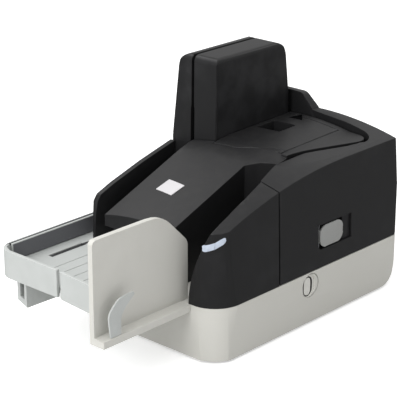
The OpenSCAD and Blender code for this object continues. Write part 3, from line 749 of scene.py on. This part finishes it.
BLACK = Finish("black_textured_plastic", (31, 31, 32), 0.42, "black_casing", specular=0.22, marks=0.015,
               grain_scale=1600, grain_depth=0.03, wear=0.22, wear_colour=(70, 70, 72), dust=0.02)
TOWER_BLACK = Finish("black_tower_plastic", (29, 29, 30), 0.4, "black_casing", specular=0.22, marks=0.01,
                     grain_scale=1600, grain_depth=0.025, wear=0.22, wear_colour=(66, 66, 68), dust=0.015)
LIGHT = Finish("warm_grey_plastic", (196, 195, 189), 0.5, "light_casing", specular=0.35, marks=0.04,
               grain_depth=0.025, grain_shade=0.05, wear=0.2, wear_colour=(216, 215, 210), dust=0.03)
PALE = Finish("pale_stacker_plastic", (179, 182, 180), 0.42, "pale_tray", specular=0.35, marks=0.04,
              grain_shade=0.05, wear=0.2, wear_colour=(220, 223, 222), dust=0.02)
LEVER = Finish("grey_control_plastic", (144, 145, 143), 0.42, "grey_plastic", specular=0.35,
               grain_scale=1300, grain_depth=0.03, grain_shade=0.16, wear_colour=(190, 191, 190), dust=0.01)
BUTTON = Finish("pale_button_plastic", (205, 204, 198), 0.36, "grey_plastic", specular=0.4,
                grain_depth=0.012, wear=0.2, wear_colour=(225, 225, 221), dust=0.01)
RIM = Finish("pale_rim_plastic", (208, 207, 201), 0.36, "light_casing", specular=0.4,
             grain_depth=0.012, wear=0.3, wear_colour=(232, 232, 228), dust=0.01)
LINER = Finish("dark_liner_plastic", (96, 97, 101), 0.5, "dark_plastic", wear=0.1, dust=0.02)
# Dark plastic of the inlet and the cartridge; also painted shade in the stacker's groove, slot and rim gap
DARK_PLASTIC_AND_SHADE = Finish("dark_inner_plastic", (34, 34, 36), 0.5, "dark_plastic", wear=0.1, dust=0.02)
# Near-black finish of painted shade, laid in the dip across the lid's rear end
PAINTED_DIP_SHADE = Finish("deep_black_gap", (5, 5, 6), 0.85, "dark_plastic", specular=0.04, grain_depth=0.01,
                grain_shade=0.02, wear=0.0, dust=0.0)
RUBBER = Finish("soft_black_rubber", (38, 38, 38), 0.78, "soft_rubber", specular=0.3, grain_scale=900,
                grain_depth=0.04, wear=0.2, wear_colour=(80, 80, 78), dust=0.1)
TYRE = Finish("grey_roller_rubber", (82, 84, 86), 0.72, specular=0.3, grain_scale=900,
              grain_depth=0.04, wear=0.15, dust=0.06)
STEEL = Finish("bright_steel", (176, 178, 182), 0.3, metallic=1.0, marks=0.12, grain_scale=700,
               grain_depth=0.008, grain_shade=0.1, wear=0.1, wear_colour=(210, 212, 214), dust=0.0)
ZINC = Finish("zinc_plated_steel", (150, 151, 148), 0.4, "steel", metallic=1.0, marks=0.14, grain_scale=500,
              grain_depth=0.01, grain_shade=0.2, wear=0.1, wear_colour=(190, 190, 186), dust=0.02)
BOARD = Finish("green_circuit_board", (24, 74, 44), 0.35, coat=0.4, grain_scale=400, grain_depth=0.01,
               wear=0.0, dust=0.04)
BADGE = Finish("pale_bare_badge", (194, 192, 194), 0.35, "label", coat=0.3, grain_depth=0.006,
               grain_shade=0.02, wear=0.1, wear_colour=(225, 225, 226), dust=0.01)
# The lens's faint glow in its own colour is painted light that brightens it
LENS = ClearFinish("frosted_status_lens", (196, 206, 222), 0.3, "lens", transmission=0.25, glow=0.12)
GLASS = ClearFinish("sensor_glass", (70, 84, 80), 0.06)


# Dressing of CAD nodes


@dataclass
class Dresser:
    """Gives CAD nodes their finish and swaps softened copies in for the ones that show."""

    frame: dict

    def body_name(self, node: str) -> str:
        """Gives the name of the body that carries a node."""
        return self.frame["nodes"][node].parent.name.removeprefix("body:")

    def paint(self, piece: bpy.types.Object, finish: Surface) -> None:
        """Gives a piece one finish all over."""
        piece.data.materials.clear()
        piece.data.materials.append(finish.material())

    def plain(self, finish: Surface, *nodes: str) -> None:
        """Keeps CAD nodes as they are and gives them a finish.

        Args:
            finish: Their finish.
            nodes: The nodes' names.
        """
        for node in nodes:
            self.paint(self.frame["nodes"][node], finish)
            log.info("%s keeps its CAD shape", node)

    def merged(self, node: str) -> bpy.types.Object:
        """Makes a closed copy of a CAD node, with its flat faces joined.

        Args:
            node: The node's name.

        Returns:
            The copy.
        """
        source = self.frame["nodes"][node]
        piece = bpy.data.objects.new(node + "_skin", source.data.copy())
        bpy.context.scene.collection.objects.link(piece)
        edit(piece)
        bpy.ops.mesh.select_all(action="SELECT")
        bpy.ops.mesh.remove_doubles(threshold=0.002 * MM)
        bpy.ops.mesh.dissolve_limited(angle_limit=math.radians(0.3))
        close(piece)
        return piece

    def softened(self, node: str, finish: Surface, width: float, segments: int = 2) -> None:
        """Stands a copy with rounded edges in for a CAD node.

        Args:
            node: The node's name.
            finish: The copy's finish.
            width: Width of the rounding in millimetres.
            segments: Faces across the rounding.
        """
        piece = self.merged(node)
        soften(piece, width, segments, SHARP_ABOVE)
        self.finish_skin(piece, node, finish)

    def finish_skin(self, piece: bpy.types.Object, node: str, finish: Surface) -> None:
        """Shades a copy, with its large flat faces flat, paints it and lets it stand for its node.

        Args:
            piece: The copy.
            node: The node it stands for.
            finish: Its finish.
        """
        pick(piece)
        bpy.ops.object.shade_smooth_by_angle(angle=math.radians(SHARP_ABOVE))
        even = piece.modifiers.new("even_normals", "WEIGHTED_NORMAL")
        even.weight = 100
        even.keep_sharp = True
        bpy.ops.object.modifier_apply(modifier=even.name)
        self.paint(piece, finish)
        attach(piece, self.body_name(node))
        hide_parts(node)
        log.info("%s stands for %s", piece.name, node)

    def adopt(self, piece: bpy.types.Object, node: str, finish: Surface, width: float, segments: int = 2,
              angle: float = ROUND_ABOVE, smooth: float = SHARP_ABOVE) -> None:
        """Softens, shades and paints a new piece and lets it ride with a CAD node.

        Args:
            piece: The new piece.
            node: The node whose body carries it.
            finish: Its finish.
            width: Width of its rounding in millimetres.
            segments: Faces across the rounding.
            angle: Degrees between faces past which an edge is rounded.
            smooth: Degrees up to which it is shaded smooth.
        """
        soften(piece, width, segments, angle)
        outward(piece, smooth)
        self.paint(piece, finish)
        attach(piece, self.body_name(node))
        log.info("%s rides with %s", piece.name, node)


# Sub-assemblies, with their sizes in millimetres


@dataclass
class Base:
    """The light base with its plate, feet, screws, sockets, board and motor."""

    dresser: Dresser
    rounding: float = 0.5
    # The middle of the power button's well, and from there the middles of what lies about it
    well: Point = (0, 110, 34.5)
    line_from_well: Point = (-0.7, 1.9, 0.2)
    rim_from_well: Point = (-1.7, 0, 0)
    step_from_well: Point = (-1.9, 0, 0)
    line_outer: float = 10.4
    line_inner: float = 9.4
    line_depth: float = 1.8
    # Width, height and thickness of the rim and the step, and width and height of their holes
    rim_size: Point = (16.1, 19.1, 2.5)
    rim_hole: tuple[float, float] = (15, 18)
    step_size: Point = (15.2, 18.2, 1.4)
    step_hole: tuple[float, float] = (11.9, 16.7)
    step_hole_shift: float = -1.3

    def build(self) -> None:
        """Dresses the base."""
        d = self.dresser
        self.casing()
        d.softened("base_plate", LINER, 0.3)
        d.softened("rubber_feet", RUBBER, 0.4, 3)
        d.softened("base_screws", ZINC, 0.3)
        d.plain(BOARD, "main_board")
        d.softened("power_inlet", DARK_PLASTIC_AND_SHADE, 0.25)
        d.softened("data_socket", ZINC, 0.2)
        d.plain(ZINC, "drive_motor", "bearing_plate", "bearing_posts")
        d.plain(STEEL, "motor_pulley")
        d.plain(RUBBER, "drive_belts")
        d.softened("power_button", BUTTON, 1.1, 5)
        self.button_rim()
        self.button_floor()

    def middle(self, offset: Point) -> Vector:
        """Gives a place at an offset from the middle of the button's well."""
        return spot(*self.well) + Vector(offset) * MM

    def casing(self) -> None:
        """Softens the casing and cuts the fine round line about the power button."""
        casing = self.dresser.merged("base_casing")
        middle = self.middle(self.line_from_well)
        line = round_piece("line", middle, self.line_outer, self.line_depth, (0, 90, 0), 96)
        carve(line, round_piece("line_inside", middle, self.line_inner, THROUGH, (0, 90, 0), 96))
        carve(casing, line)
        soften(casing, self.rounding)
        self.dresser.finish_skin(casing, "base_casing", LIGHT)

    def button_rim(self) -> None:
        """Models the bright lip of the power button's well."""
        middle = self.middle(self.rim_from_well)
        rim = pill_piece("button_rim", middle, *self.rim_size)
        carve(rim, pill_piece("rim_hole", middle, *self.rim_hole, THROUGH))
        self.dresser.adopt(rim, "base_casing", RIM, 0.25, 3, 60)

    def button_floor(self) -> None:
        """Models the step of the well that leaves a gap round the button."""
        middle = self.middle(self.step_from_well)
        step = pill_piece("button_well_floor", middle, *self.step_size)
        hole_middle = middle + Vector((0, self.step_hole_shift, 0)) * MM
        carve(step, pill_piece("floor_hole", hole_middle, *self.step_hole, THROUGH))
        self.dresser.adopt(step, "base_casing", RIM, 0.2, 2, 60)


@dataclass
class Covers:
    """The black covers: centre island, front block, swinging cover, towers, walls and lid."""

    dresser: Dresser
    rounding: float = 0.5
    # The seam behind the front block: what lies behind seam_y moves forward to widen it
    seam_y: float = 73.3
    seam_gap: float = 0.9
    # Upper corners and depth of the wedge that slopes the side of the groove
    groove_side: tuple[Point, ...] = (
        (-33.5, 103, 145.6), (-28.6, 103, 148.5), (-28.6, 138, 148.7), (-33.5, 138, 148))
    groove_depth: float = 15
    # The room round the front corners of the lever's recess, and their rounding
    recess_room: Span = ((-11, 121, 61), (0, 121.8, 83))
    recess_rounding: float = 3.5
    recess_floor: Span = ((-5, 153.6, 61.2), (-2.6, 164.3, 82.8))
    paddle: Span = ((-2, 124.1, 62.6), (-0.8, 152.9, 81.4))
    paddle_rounding: float = 7.4
    # Rings of the paddle's dome from outside to inside: width and rise of each
    paddle_dome: tuple[tuple[float, float], ...] = ((1.1, 0), (2.2, 0.3), (2.6, 0.1))
    barrel: Point = (-4.3, 126.6, 72)
    barrel_radius: float = 2.5
    barrel_length: float = 11
    # Upper corners of the near-black plate of painted shade in the dip, on the lid and beyond it, and its
    # thickness
    dip_on_lid: tuple[Point, ...] = (
        (-97.2, 197.7, 135.7), (-82.4, 197.7, 136.3), (-87.4, 204.1, 136.3), (-95.2, 205, 135.8))
    dip_beyond: tuple[Point, ...] = ((-94.6, 206, 135.9), (-89.1, 205.4, 136.3), (-93.2, 210.7, 136.2))
    dip_depth: float = 1.7
    # The lens: its prism's top and bottom, the start of its band and the steps to the right and up
    lens_top: float = 106
    lens_bottom: float = 90
    lens_start: Span = ((-17.2, -5, 92.5), (-14.5, 25, 97.8))
    lens_path: tuple[tuple[float, float], ...] = ((2.6, 0.8), (3.6, 1.6), (2.6, 2.3), (2.3, 2.2))
    lens_ends: float = 1.9
    lens_proud: Point = (0.25, -0.3, 0)

    def build(self) -> None:
        """Dresses the covers."""
        d = self.dresser
        for node in ("centre_island", "left_guide_wall", "rear_post", "imprinter_lid"):
            d.softened(node, BLACK, self.rounding)
        self.dip_floor()
        self.front_block()
        self.outer_cover()
        for node in ("tower_inner", "tower_outer"):
            d.softened(node, TOWER_BLACK, self.rounding)
        d.plain(BLACK, "status_lens")
        self.lens()
        d.plain(GLASS, "sensor_glass_inner", "sensor_glass_outer")
        d.plain(DARK_PLASTIC_AND_SHADE, "imprint_cartridge")
        d.plain(STEEL, "magnetic_head", "lid_pins", "hinge_pin", "lever_pin")
        self.lever()
        self.recess_plate()
        d.softened("badge", BADGE, 0.25)

    def front_block(self) -> None:
        """Softens the front block and widens the seam behind it."""
        block = self.dresser.merged("front_block")
        seam = spot(0, self.seam_y, 0).y
        shift(block, lambda place: place.y > seam, (0, -self.seam_gap, 0))
        soften(block, self.rounding)
        self.dresser.finish_skin(block, "front_block", BLACK)

    def outer_cover(self) -> None:
        """Slopes the groove's side, rounds two corners of the lever's recess and softens the cover."""
        cover = self.dresser.merged("outer_cover")
        carve(cover, plate_piece("groove_side", self.groove_side, self.groove_depth))
        low, high = (spot(*corner) for corner in self.recess_room)

        def corner(edge: bmesh.types.BMEdge) -> bool:
            """Says whether an edge is a corner of the recess, beside the lever's pin.

            Args:
                edge: The edge.

            Returns:
                True if it is one of them.
            """
            a, b = (v.co for v in edge.verts)
            inside = all(low.y < q.y < high.y and low.z < q.z < high.z for q in (a, b))
            return inside and abs(a.x - b.x) > 5 * MM and abs(a.z - b.z) < 0.2 * MM

        found = choose(edit(cover), Part.EDGE, corner)
        if found:
            bevel(self.recess_rounding, 6)
        close(cover)
        log.info("%d corners of the lever's recess rounded", found)
        soften(cover, self.rounding)
        self.dresser.finish_skin(cover, "outer_cover", BLACK)

    def lever(self) -> None:
        """Models the release lever: a domed paddle and the barrel that turns on the pin."""
        paddle = span_piece("lever_paddle", self.paddle)
        choose(edit(paddle), Part.EDGE, lambda e: abs(e.verts[0].co.x - e.verts[1].co.x) > MM)
        bevel(self.paddle_rounding, 12)
        close(paddle)
        choose(edit(paddle), Part.FACE, lambda f: f.normal.x > 0.9)
        for width, rise in self.paddle_dome:
            bpy.ops.mesh.inset(thickness=width * MM)
            bpy.ops.transform.translate(value=(rise * MM, 0, 0))
        close(paddle)
        self.dresser.adopt(paddle, "release_lever", LEVER, 0.5, 4, 50, smooth=40)
        barrel = round_piece("lever_barrel", spot(*self.barrel), self.barrel_radius, self.barrel_length)
        self.dresser.adopt(barrel, "release_lever", LEVER, 0.5, 3)
        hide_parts("release_lever")

    def recess_plate(self) -> None:
        """Models the floor of the finger's room behind the lever."""
        floor = span_piece("recess_floor", self.recess_floor)
        self.dresser.adopt(floor, "outer_cover", BLACK, 0.4, 3)

    def dip_floor(self) -> None:
        """Lays near-black plates of painted shade in the small dip that lies across the lid's rear end."""
        for name, corners, node in (("dip_floor_lid", self.dip_on_lid, "imprinter_lid"),
                                    ("dip_floor_island", self.dip_beyond, "centre_island")):
            plate = plate_piece(name, corners, self.dip_depth)
            self.dresser.adopt(plate, node, PAINTED_DIP_SHADE, 0.1)

    def lens(self) -> None:
        """Models the blunt status lens, cut from the block's rounded front and set slightly proud."""
        lens = self.dresser.merged("status_lens")
        lens.name = "status_window"
        choose(edit(lens), Part.FACE, lambda f: f.normal.z > 0.3)
        bpy.ops.transform.resize(value=(1, 1, 0), center_override=spot(0, 0, self.lens_top))
        bpy.ops.mesh.select_mode(type=Part.CORNER.value)
        bpy.ops.mesh.select_all(action="INVERT")
        bpy.ops.transform.resize(value=(1, 1, 0), center_override=spot(0, 0, self.lens_bottom))
        close(lens)
        carve(lens, self.lens_band(), Keep.INSIDE)
        pick(lens)
        bpy.ops.transform.translate(value=Vector(self.lens_proud) * MM)
        settle(lens)
        self.dresser.adopt(lens, "status_lens", LENS, 0.3, 3, 50, smooth=40)

    def lens_band(self) -> bpy.types.Object:
        """Models the rising band with blunt ends that the lens is cut from.

        Returns:
            The band.
        """
        band = span_piece("band", self.lens_start)
        for right, up in self.lens_path:
            choose(edit(band), Part.FACE, lambda f: f.normal.x > 0.9)
            bpy.ops.mesh.extrude_region_move(TRANSFORM_OT_translate={"value": (right * MM, 0, up * MM)})
            close(band)
        sides = [v.co.x for v in band.data.vertices]
        ends = (min(sides), max(sides))

        def at_end(edge: bmesh.types.BMEdge) -> bool:
            """Says whether an edge runs back along one of the band's four corners."""
            a, b = (v.co for v in edge.verts)
            return abs(a.y - b.y) > 5 * MM and min(abs(a.x - end) for end in ends) < 0.1 * MM

        choose(edit(band), Part.EDGE, at_end)
        bevel(self.lens_ends, 8)
        close(band)
        return band


@dataclass
class PaperWays:
    """The hopper shelf with its finger and the stacker with its pull-out end."""

    dresser: Dresser
    # The bead on the liner: its width, and how far it stands out in front, beside and above
    bead_width: float = 1.6
    bead_front: float = 0.6
    bead_side: float = 0.15
    bead_top: float = 0.25
    bead_front_wall: float = 1.1
    bead_height: float = 1.0
    # The ribs: the floor they stand on, the place of the first and the step to the next
    floor: float = 60
    rib_right: float = -74
    rib_step: float = 12
    rib_width: float = 1.1
    rib_front: float = -58
    rib_rear: float = 6
    rib_height: float = 0.45
    rib_root: float = 0.4
    rib_slope: float = 2.5
    ribs: int = 6
    # The dark strips of painted shade along the groove and in the slot, and how far the groove's rear left
    # corner moves in
    groove: Span = ((-154.6, 6, 59.4), (-151.4, 53, 60.12))
    groove_taper: float = 1.6
    slot: Span = ((-156.4, -29.4, 58.2), (-150.6, 8.4, 59.1))
    # The dark strip of painted shade in the gap beside the rim, and the move of its front left corner
    gap: Span = ((-170.5, -62, 73.5), (-168.6, 41, 75.08))
    gap_corner: Point = (0.9, 3, 0)

    def build(self) -> None:
        """Dresses the hopper and the stacker."""
        d = self.dresser
        d.softened("hopper_shelf", LIGHT, 0.5)
        d.softened("hopper_finger", PALE, 0.4, 3)
        d.softened("stacker_tray", PALE, 0.5)
        d.softened("stacker_end", PALE, 0.6)
        d.softened("stacker_liner", LINER, 0.4)
        self.liner_edge()
        self.floor_ribs()
        self.floor_groove()
        self.rim_gap()

    def liner_edge(self) -> None:
        """Models the pale bead along the top and the front end of the dark liner."""
        low, high = (Vector(corner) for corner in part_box("stacker_liner"))
        start = Vector((high.x - self.bead_width * MM, low.y - self.bead_front * MM, low.z))
        bead = box_piece("liner_bead", start, high + Vector((self.bead_side, 0, self.bead_top)) * MM)
        inside_y = start.y + self.bead_front_wall * MM
        inside_top = high.z + (self.bead_top - self.bead_height) * MM
        room = box_piece("bead_space", Vector((high.x - THROUGH * MM, inside_y, low.z - MM)),
                         Vector((high.x + MM, high.y + MM, inside_top)))
        carve(bead, room)
        self.dresser.adopt(bead, "stacker_liner", PALE, 0.25, 3)

    def floor_ribs(self) -> None:
        """Models the low ribs of the stacker's floor that the cheques lie on."""
        for number in range(self.ribs):
            right = self.rib_right - self.rib_step * number
            rib = span_piece(f"floor_rib_{number + 1}", (
                (right, self.rib_front, self.floor - self.rib_root),
                (right + self.rib_width, self.rib_rear, self.floor + self.rib_height)))
            centre = spot(right, (self.rib_front + self.rib_rear) / 2, self.floor)
            shift(rib, lambda place: place.z > centre.z and place.y < centre.y, (0, self.rib_slope, 0))
            shift(rib, lambda place: place.z > centre.z and place.y > centre.y, (0, -self.rib_slope, 0))
            self.dresser.adopt(rib, "stacker_tray", PALE, 0.3, 3)

    def floor_groove(self) -> None:
        """Lays dark strips of painted shade in the slot and along the groove that runs on from it to the
        rear.
        """
        groove = span_piece("floor_groove", self.groove)
        low, high = (spot(*corner) for corner in self.groove)
        centre = (low + high) / 2
        shift(groove, lambda place: place.y > centre.y and place.x < centre.x, (self.groove_taper, 0, 0))
        for piece in (groove, span_piece("slot_floor", self.slot)):
            self.dresser.adopt(piece, "stacker_tray", DARK_PLASTIC_AND_SHADE, 0.1)

    def rim_gap(self) -> None:
        """Lays a dark strip of painted shade in the gap between the stacker's rim and the liner."""
        gap = span_piece("rim_gap", self.gap)
        low, high = (spot(*corner) for corner in self.gap)
        centre = (low + high) / 2
        shift(gap, lambda place: place.y < centre.y and place.x < centre.x, self.gap_corner)
        self.dresser.adopt(gap, "stacker_end", DARK_PLASTIC_AND_SHADE, 0.1)


@dataclass
class Rollers:
    """The shafts, tyres and pinch rollers of the cheque path."""

    dresser: Dresser

    def build(self) -> None:
        """Dresses the rollers."""
        for name in ("feed", "right", "rear", "exit"):
            self.dresser.plain(STEEL, name + "_shaft")
            self.dresser.plain(TYRE, name + "_tyre")
        self.dresser.plain(TYRE, "retard_roller", "rear_pinch", "exit_pinch")


# Studio


def sight(azimuth: float, elevation: float) -> Vector:
    """Gives the direction in which something stands, seen from the object.

    Args:
        azimuth: Degrees round the object, 0 in front of it and 90 at its right.
        elevation: Degrees above the floor.

    Returns:
        The direction, with a length of 1.
    """
    a, e = math.radians(azimuth), math.radians(elevation)
    return Vector((math.sin(a) * math.cos(e), -math.cos(a) * math.cos(e), math.sin(e)))


@dataclass(frozen=True)
class Lamp:
    """A soft square lamp, placed by degrees round and above the object, in metres and watts."""

    name: str
    azimuth: float
    elevation: float
    distance: float
    size: float
    power: float

    def build(self, aim: Vector) -> None:
        """Adds the lamp, facing a place.

        Args:
            aim: The place that it faces.
        """
        back = sight(self.azimuth, self.elevation)
        bpy.ops.object.select_all(action="DESELECT")
        bpy.ops.object.light_add(type="AREA", location=aim + back * self.distance)
        light = bpy.context.object
        light.name = self.name
        light.rotation_euler = back.to_track_quat("Z", "Y").to_euler()
        light.data.shape = "SQUARE"
        light.data.size = self.size
        light.data.energy = self.power


LAMPS = (
    Lamp("overhead_softbox", 350, 68, 1.6, 1.4, 11),
    Lamp("front_softbox", 4, 30, 1.9, 1.2, 18),
    Lamp("side_softbox", 100, 25, 2.2, 1.2, 1.2),
    Lamp("left_softbox", 272, 50, 1.8, 1.0, 9),
    Lamp("rear_softbox", 190, 42, 2.0, 1.2, 3),
)


@dataclass
class Studio:
    """The pale floor, the soft lamps and the camera at the photograph's angle."""

    azimuth: float = 42.75
    elevation: float = 20.3
    focal_pixels: float = 1610
    picture: int = 400
    sensor: float = 36
    # Where the casing's corner lies for the camera, in millimetres
    corner_right: float = 12.965
    corner_down: float = 129.647
    corner_depth: float = 1227.83
    aim_height: float = 90
    # The floor: its side in metres, its place under the feet, its glow and its tones, plain and mirrored
    floor_side: float = 12
    floor_drop: float = 0.2
    floor_glow: float = 0.45
    floor_tones: tuple[float, float] = (0.82, 0.3)
    room_light: float = 0.62

    def camera(self) -> None:
        """Sets the camera where the photograph was taken from."""
        turn = math.radians(self.azimuth)
        right = Vector((math.cos(turn), math.sin(turn), 0))
        back = sight(self.azimuth, self.elevation)
        up = back.cross(right)
        place = CORNER - (right * self.corner_right - up * self.corner_down - back * self.corner_depth) * MM
        bpy.ops.object.select_all(action="DESELECT")
        bpy.ops.object.camera_add(location=place)
        camera = bpy.context.object
        camera.rotation_euler = back.to_track_quat("Z", "Y").to_euler()
        camera.data.sensor_width = self.sensor
        camera.data.lens = self.sensor * self.focal_pixels / self.picture
        camera.data.clip_end = 20
        bpy.context.scene.camera = camera

    def backdrop(self) -> None:
        """Adds the pale floor, which looks white and keeps the object's shadow."""
        bpy.ops.object.select_all(action="DESELECT")
        bpy.ops.mesh.primitive_plane_add(size=self.floor_side, location=(0, 0, -self.floor_drop * MM))
        floor = bpy.context.object
        floor.name = "floor"
        settle(floor)
        made = bpy.data.materials.new("white_floor")
        made.use_nodes = True
        tree = made.node_tree
        surface = tree.nodes["Principled BSDF"]
        surface.inputs["Roughness"].default_value = 0.9
        path = tree.nodes.new("ShaderNodeLightPath").outputs
        glow = tree.nodes.new("ShaderNodeEmission")
        glow.inputs["Color"].default_value = (1, 1, 1, 1)
        strength = compute(tree, "MULTIPLY", path["Is Camera Ray"], self.floor_glow)
        tree.links.new(strength, glow.inputs["Strength"])
        tone = spread(tree, path["Is Glossy Ray"], end=self.floor_tones)
        tree.links.new(tone, surface.inputs["Base Color"])
        both = tree.nodes.new("ShaderNodeAddShader")
        tree.links.new(surface.outputs[0], both.inputs[0])
        tree.links.new(glow.outputs[0], both.inputs[1])
        tree.links.new(both.outputs[0], tree.nodes["Material Output"].inputs["Surface"])
        floor.data.materials.append(made)

    def sky(self) -> None:
        """Lights the room evenly and shows it white."""
        world = bpy.data.worlds.new("white_room")
        bpy.context.scene.world = world
        world.use_nodes = True
        tree = world.node_tree
        ground = tree.nodes["Background"]
        ground.inputs["Color"].default_value = (1, 1, 1, 1)
        path = tree.nodes.new("ShaderNodeLightPath").outputs
        seen = compute(tree, "MAXIMUM", path["Is Camera Ray"], path["Is Transmission Ray"])
        level = spread(tree, seen, end=(self.room_light, 1.0))
        tree.links.new(level, ground.inputs["Strength"])

    def build(self) -> None:
        """Sets up the studio."""
        self.camera()
        self.backdrop()
        self.sky()
        for lamp in LAMPS:
            lamp.build(Vector((0, 0, self.aim_height)) * MM)
        bpy.context.scene.view_settings.view_transform = "Standard"


def main() -> None:
    """Builds every sub-assembly in order."""
    logging.basicConfig(level=logging.INFO, format="%(name)s: %(message)s")
    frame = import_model()
    dresser = Dresser(frame)
    Base(dresser).build()
    Covers(dresser).build()
    PaperWays(dresser).build()
    Rollers(dresser).build()
    Studio().build()


if __name__ == "__main__":
    main()
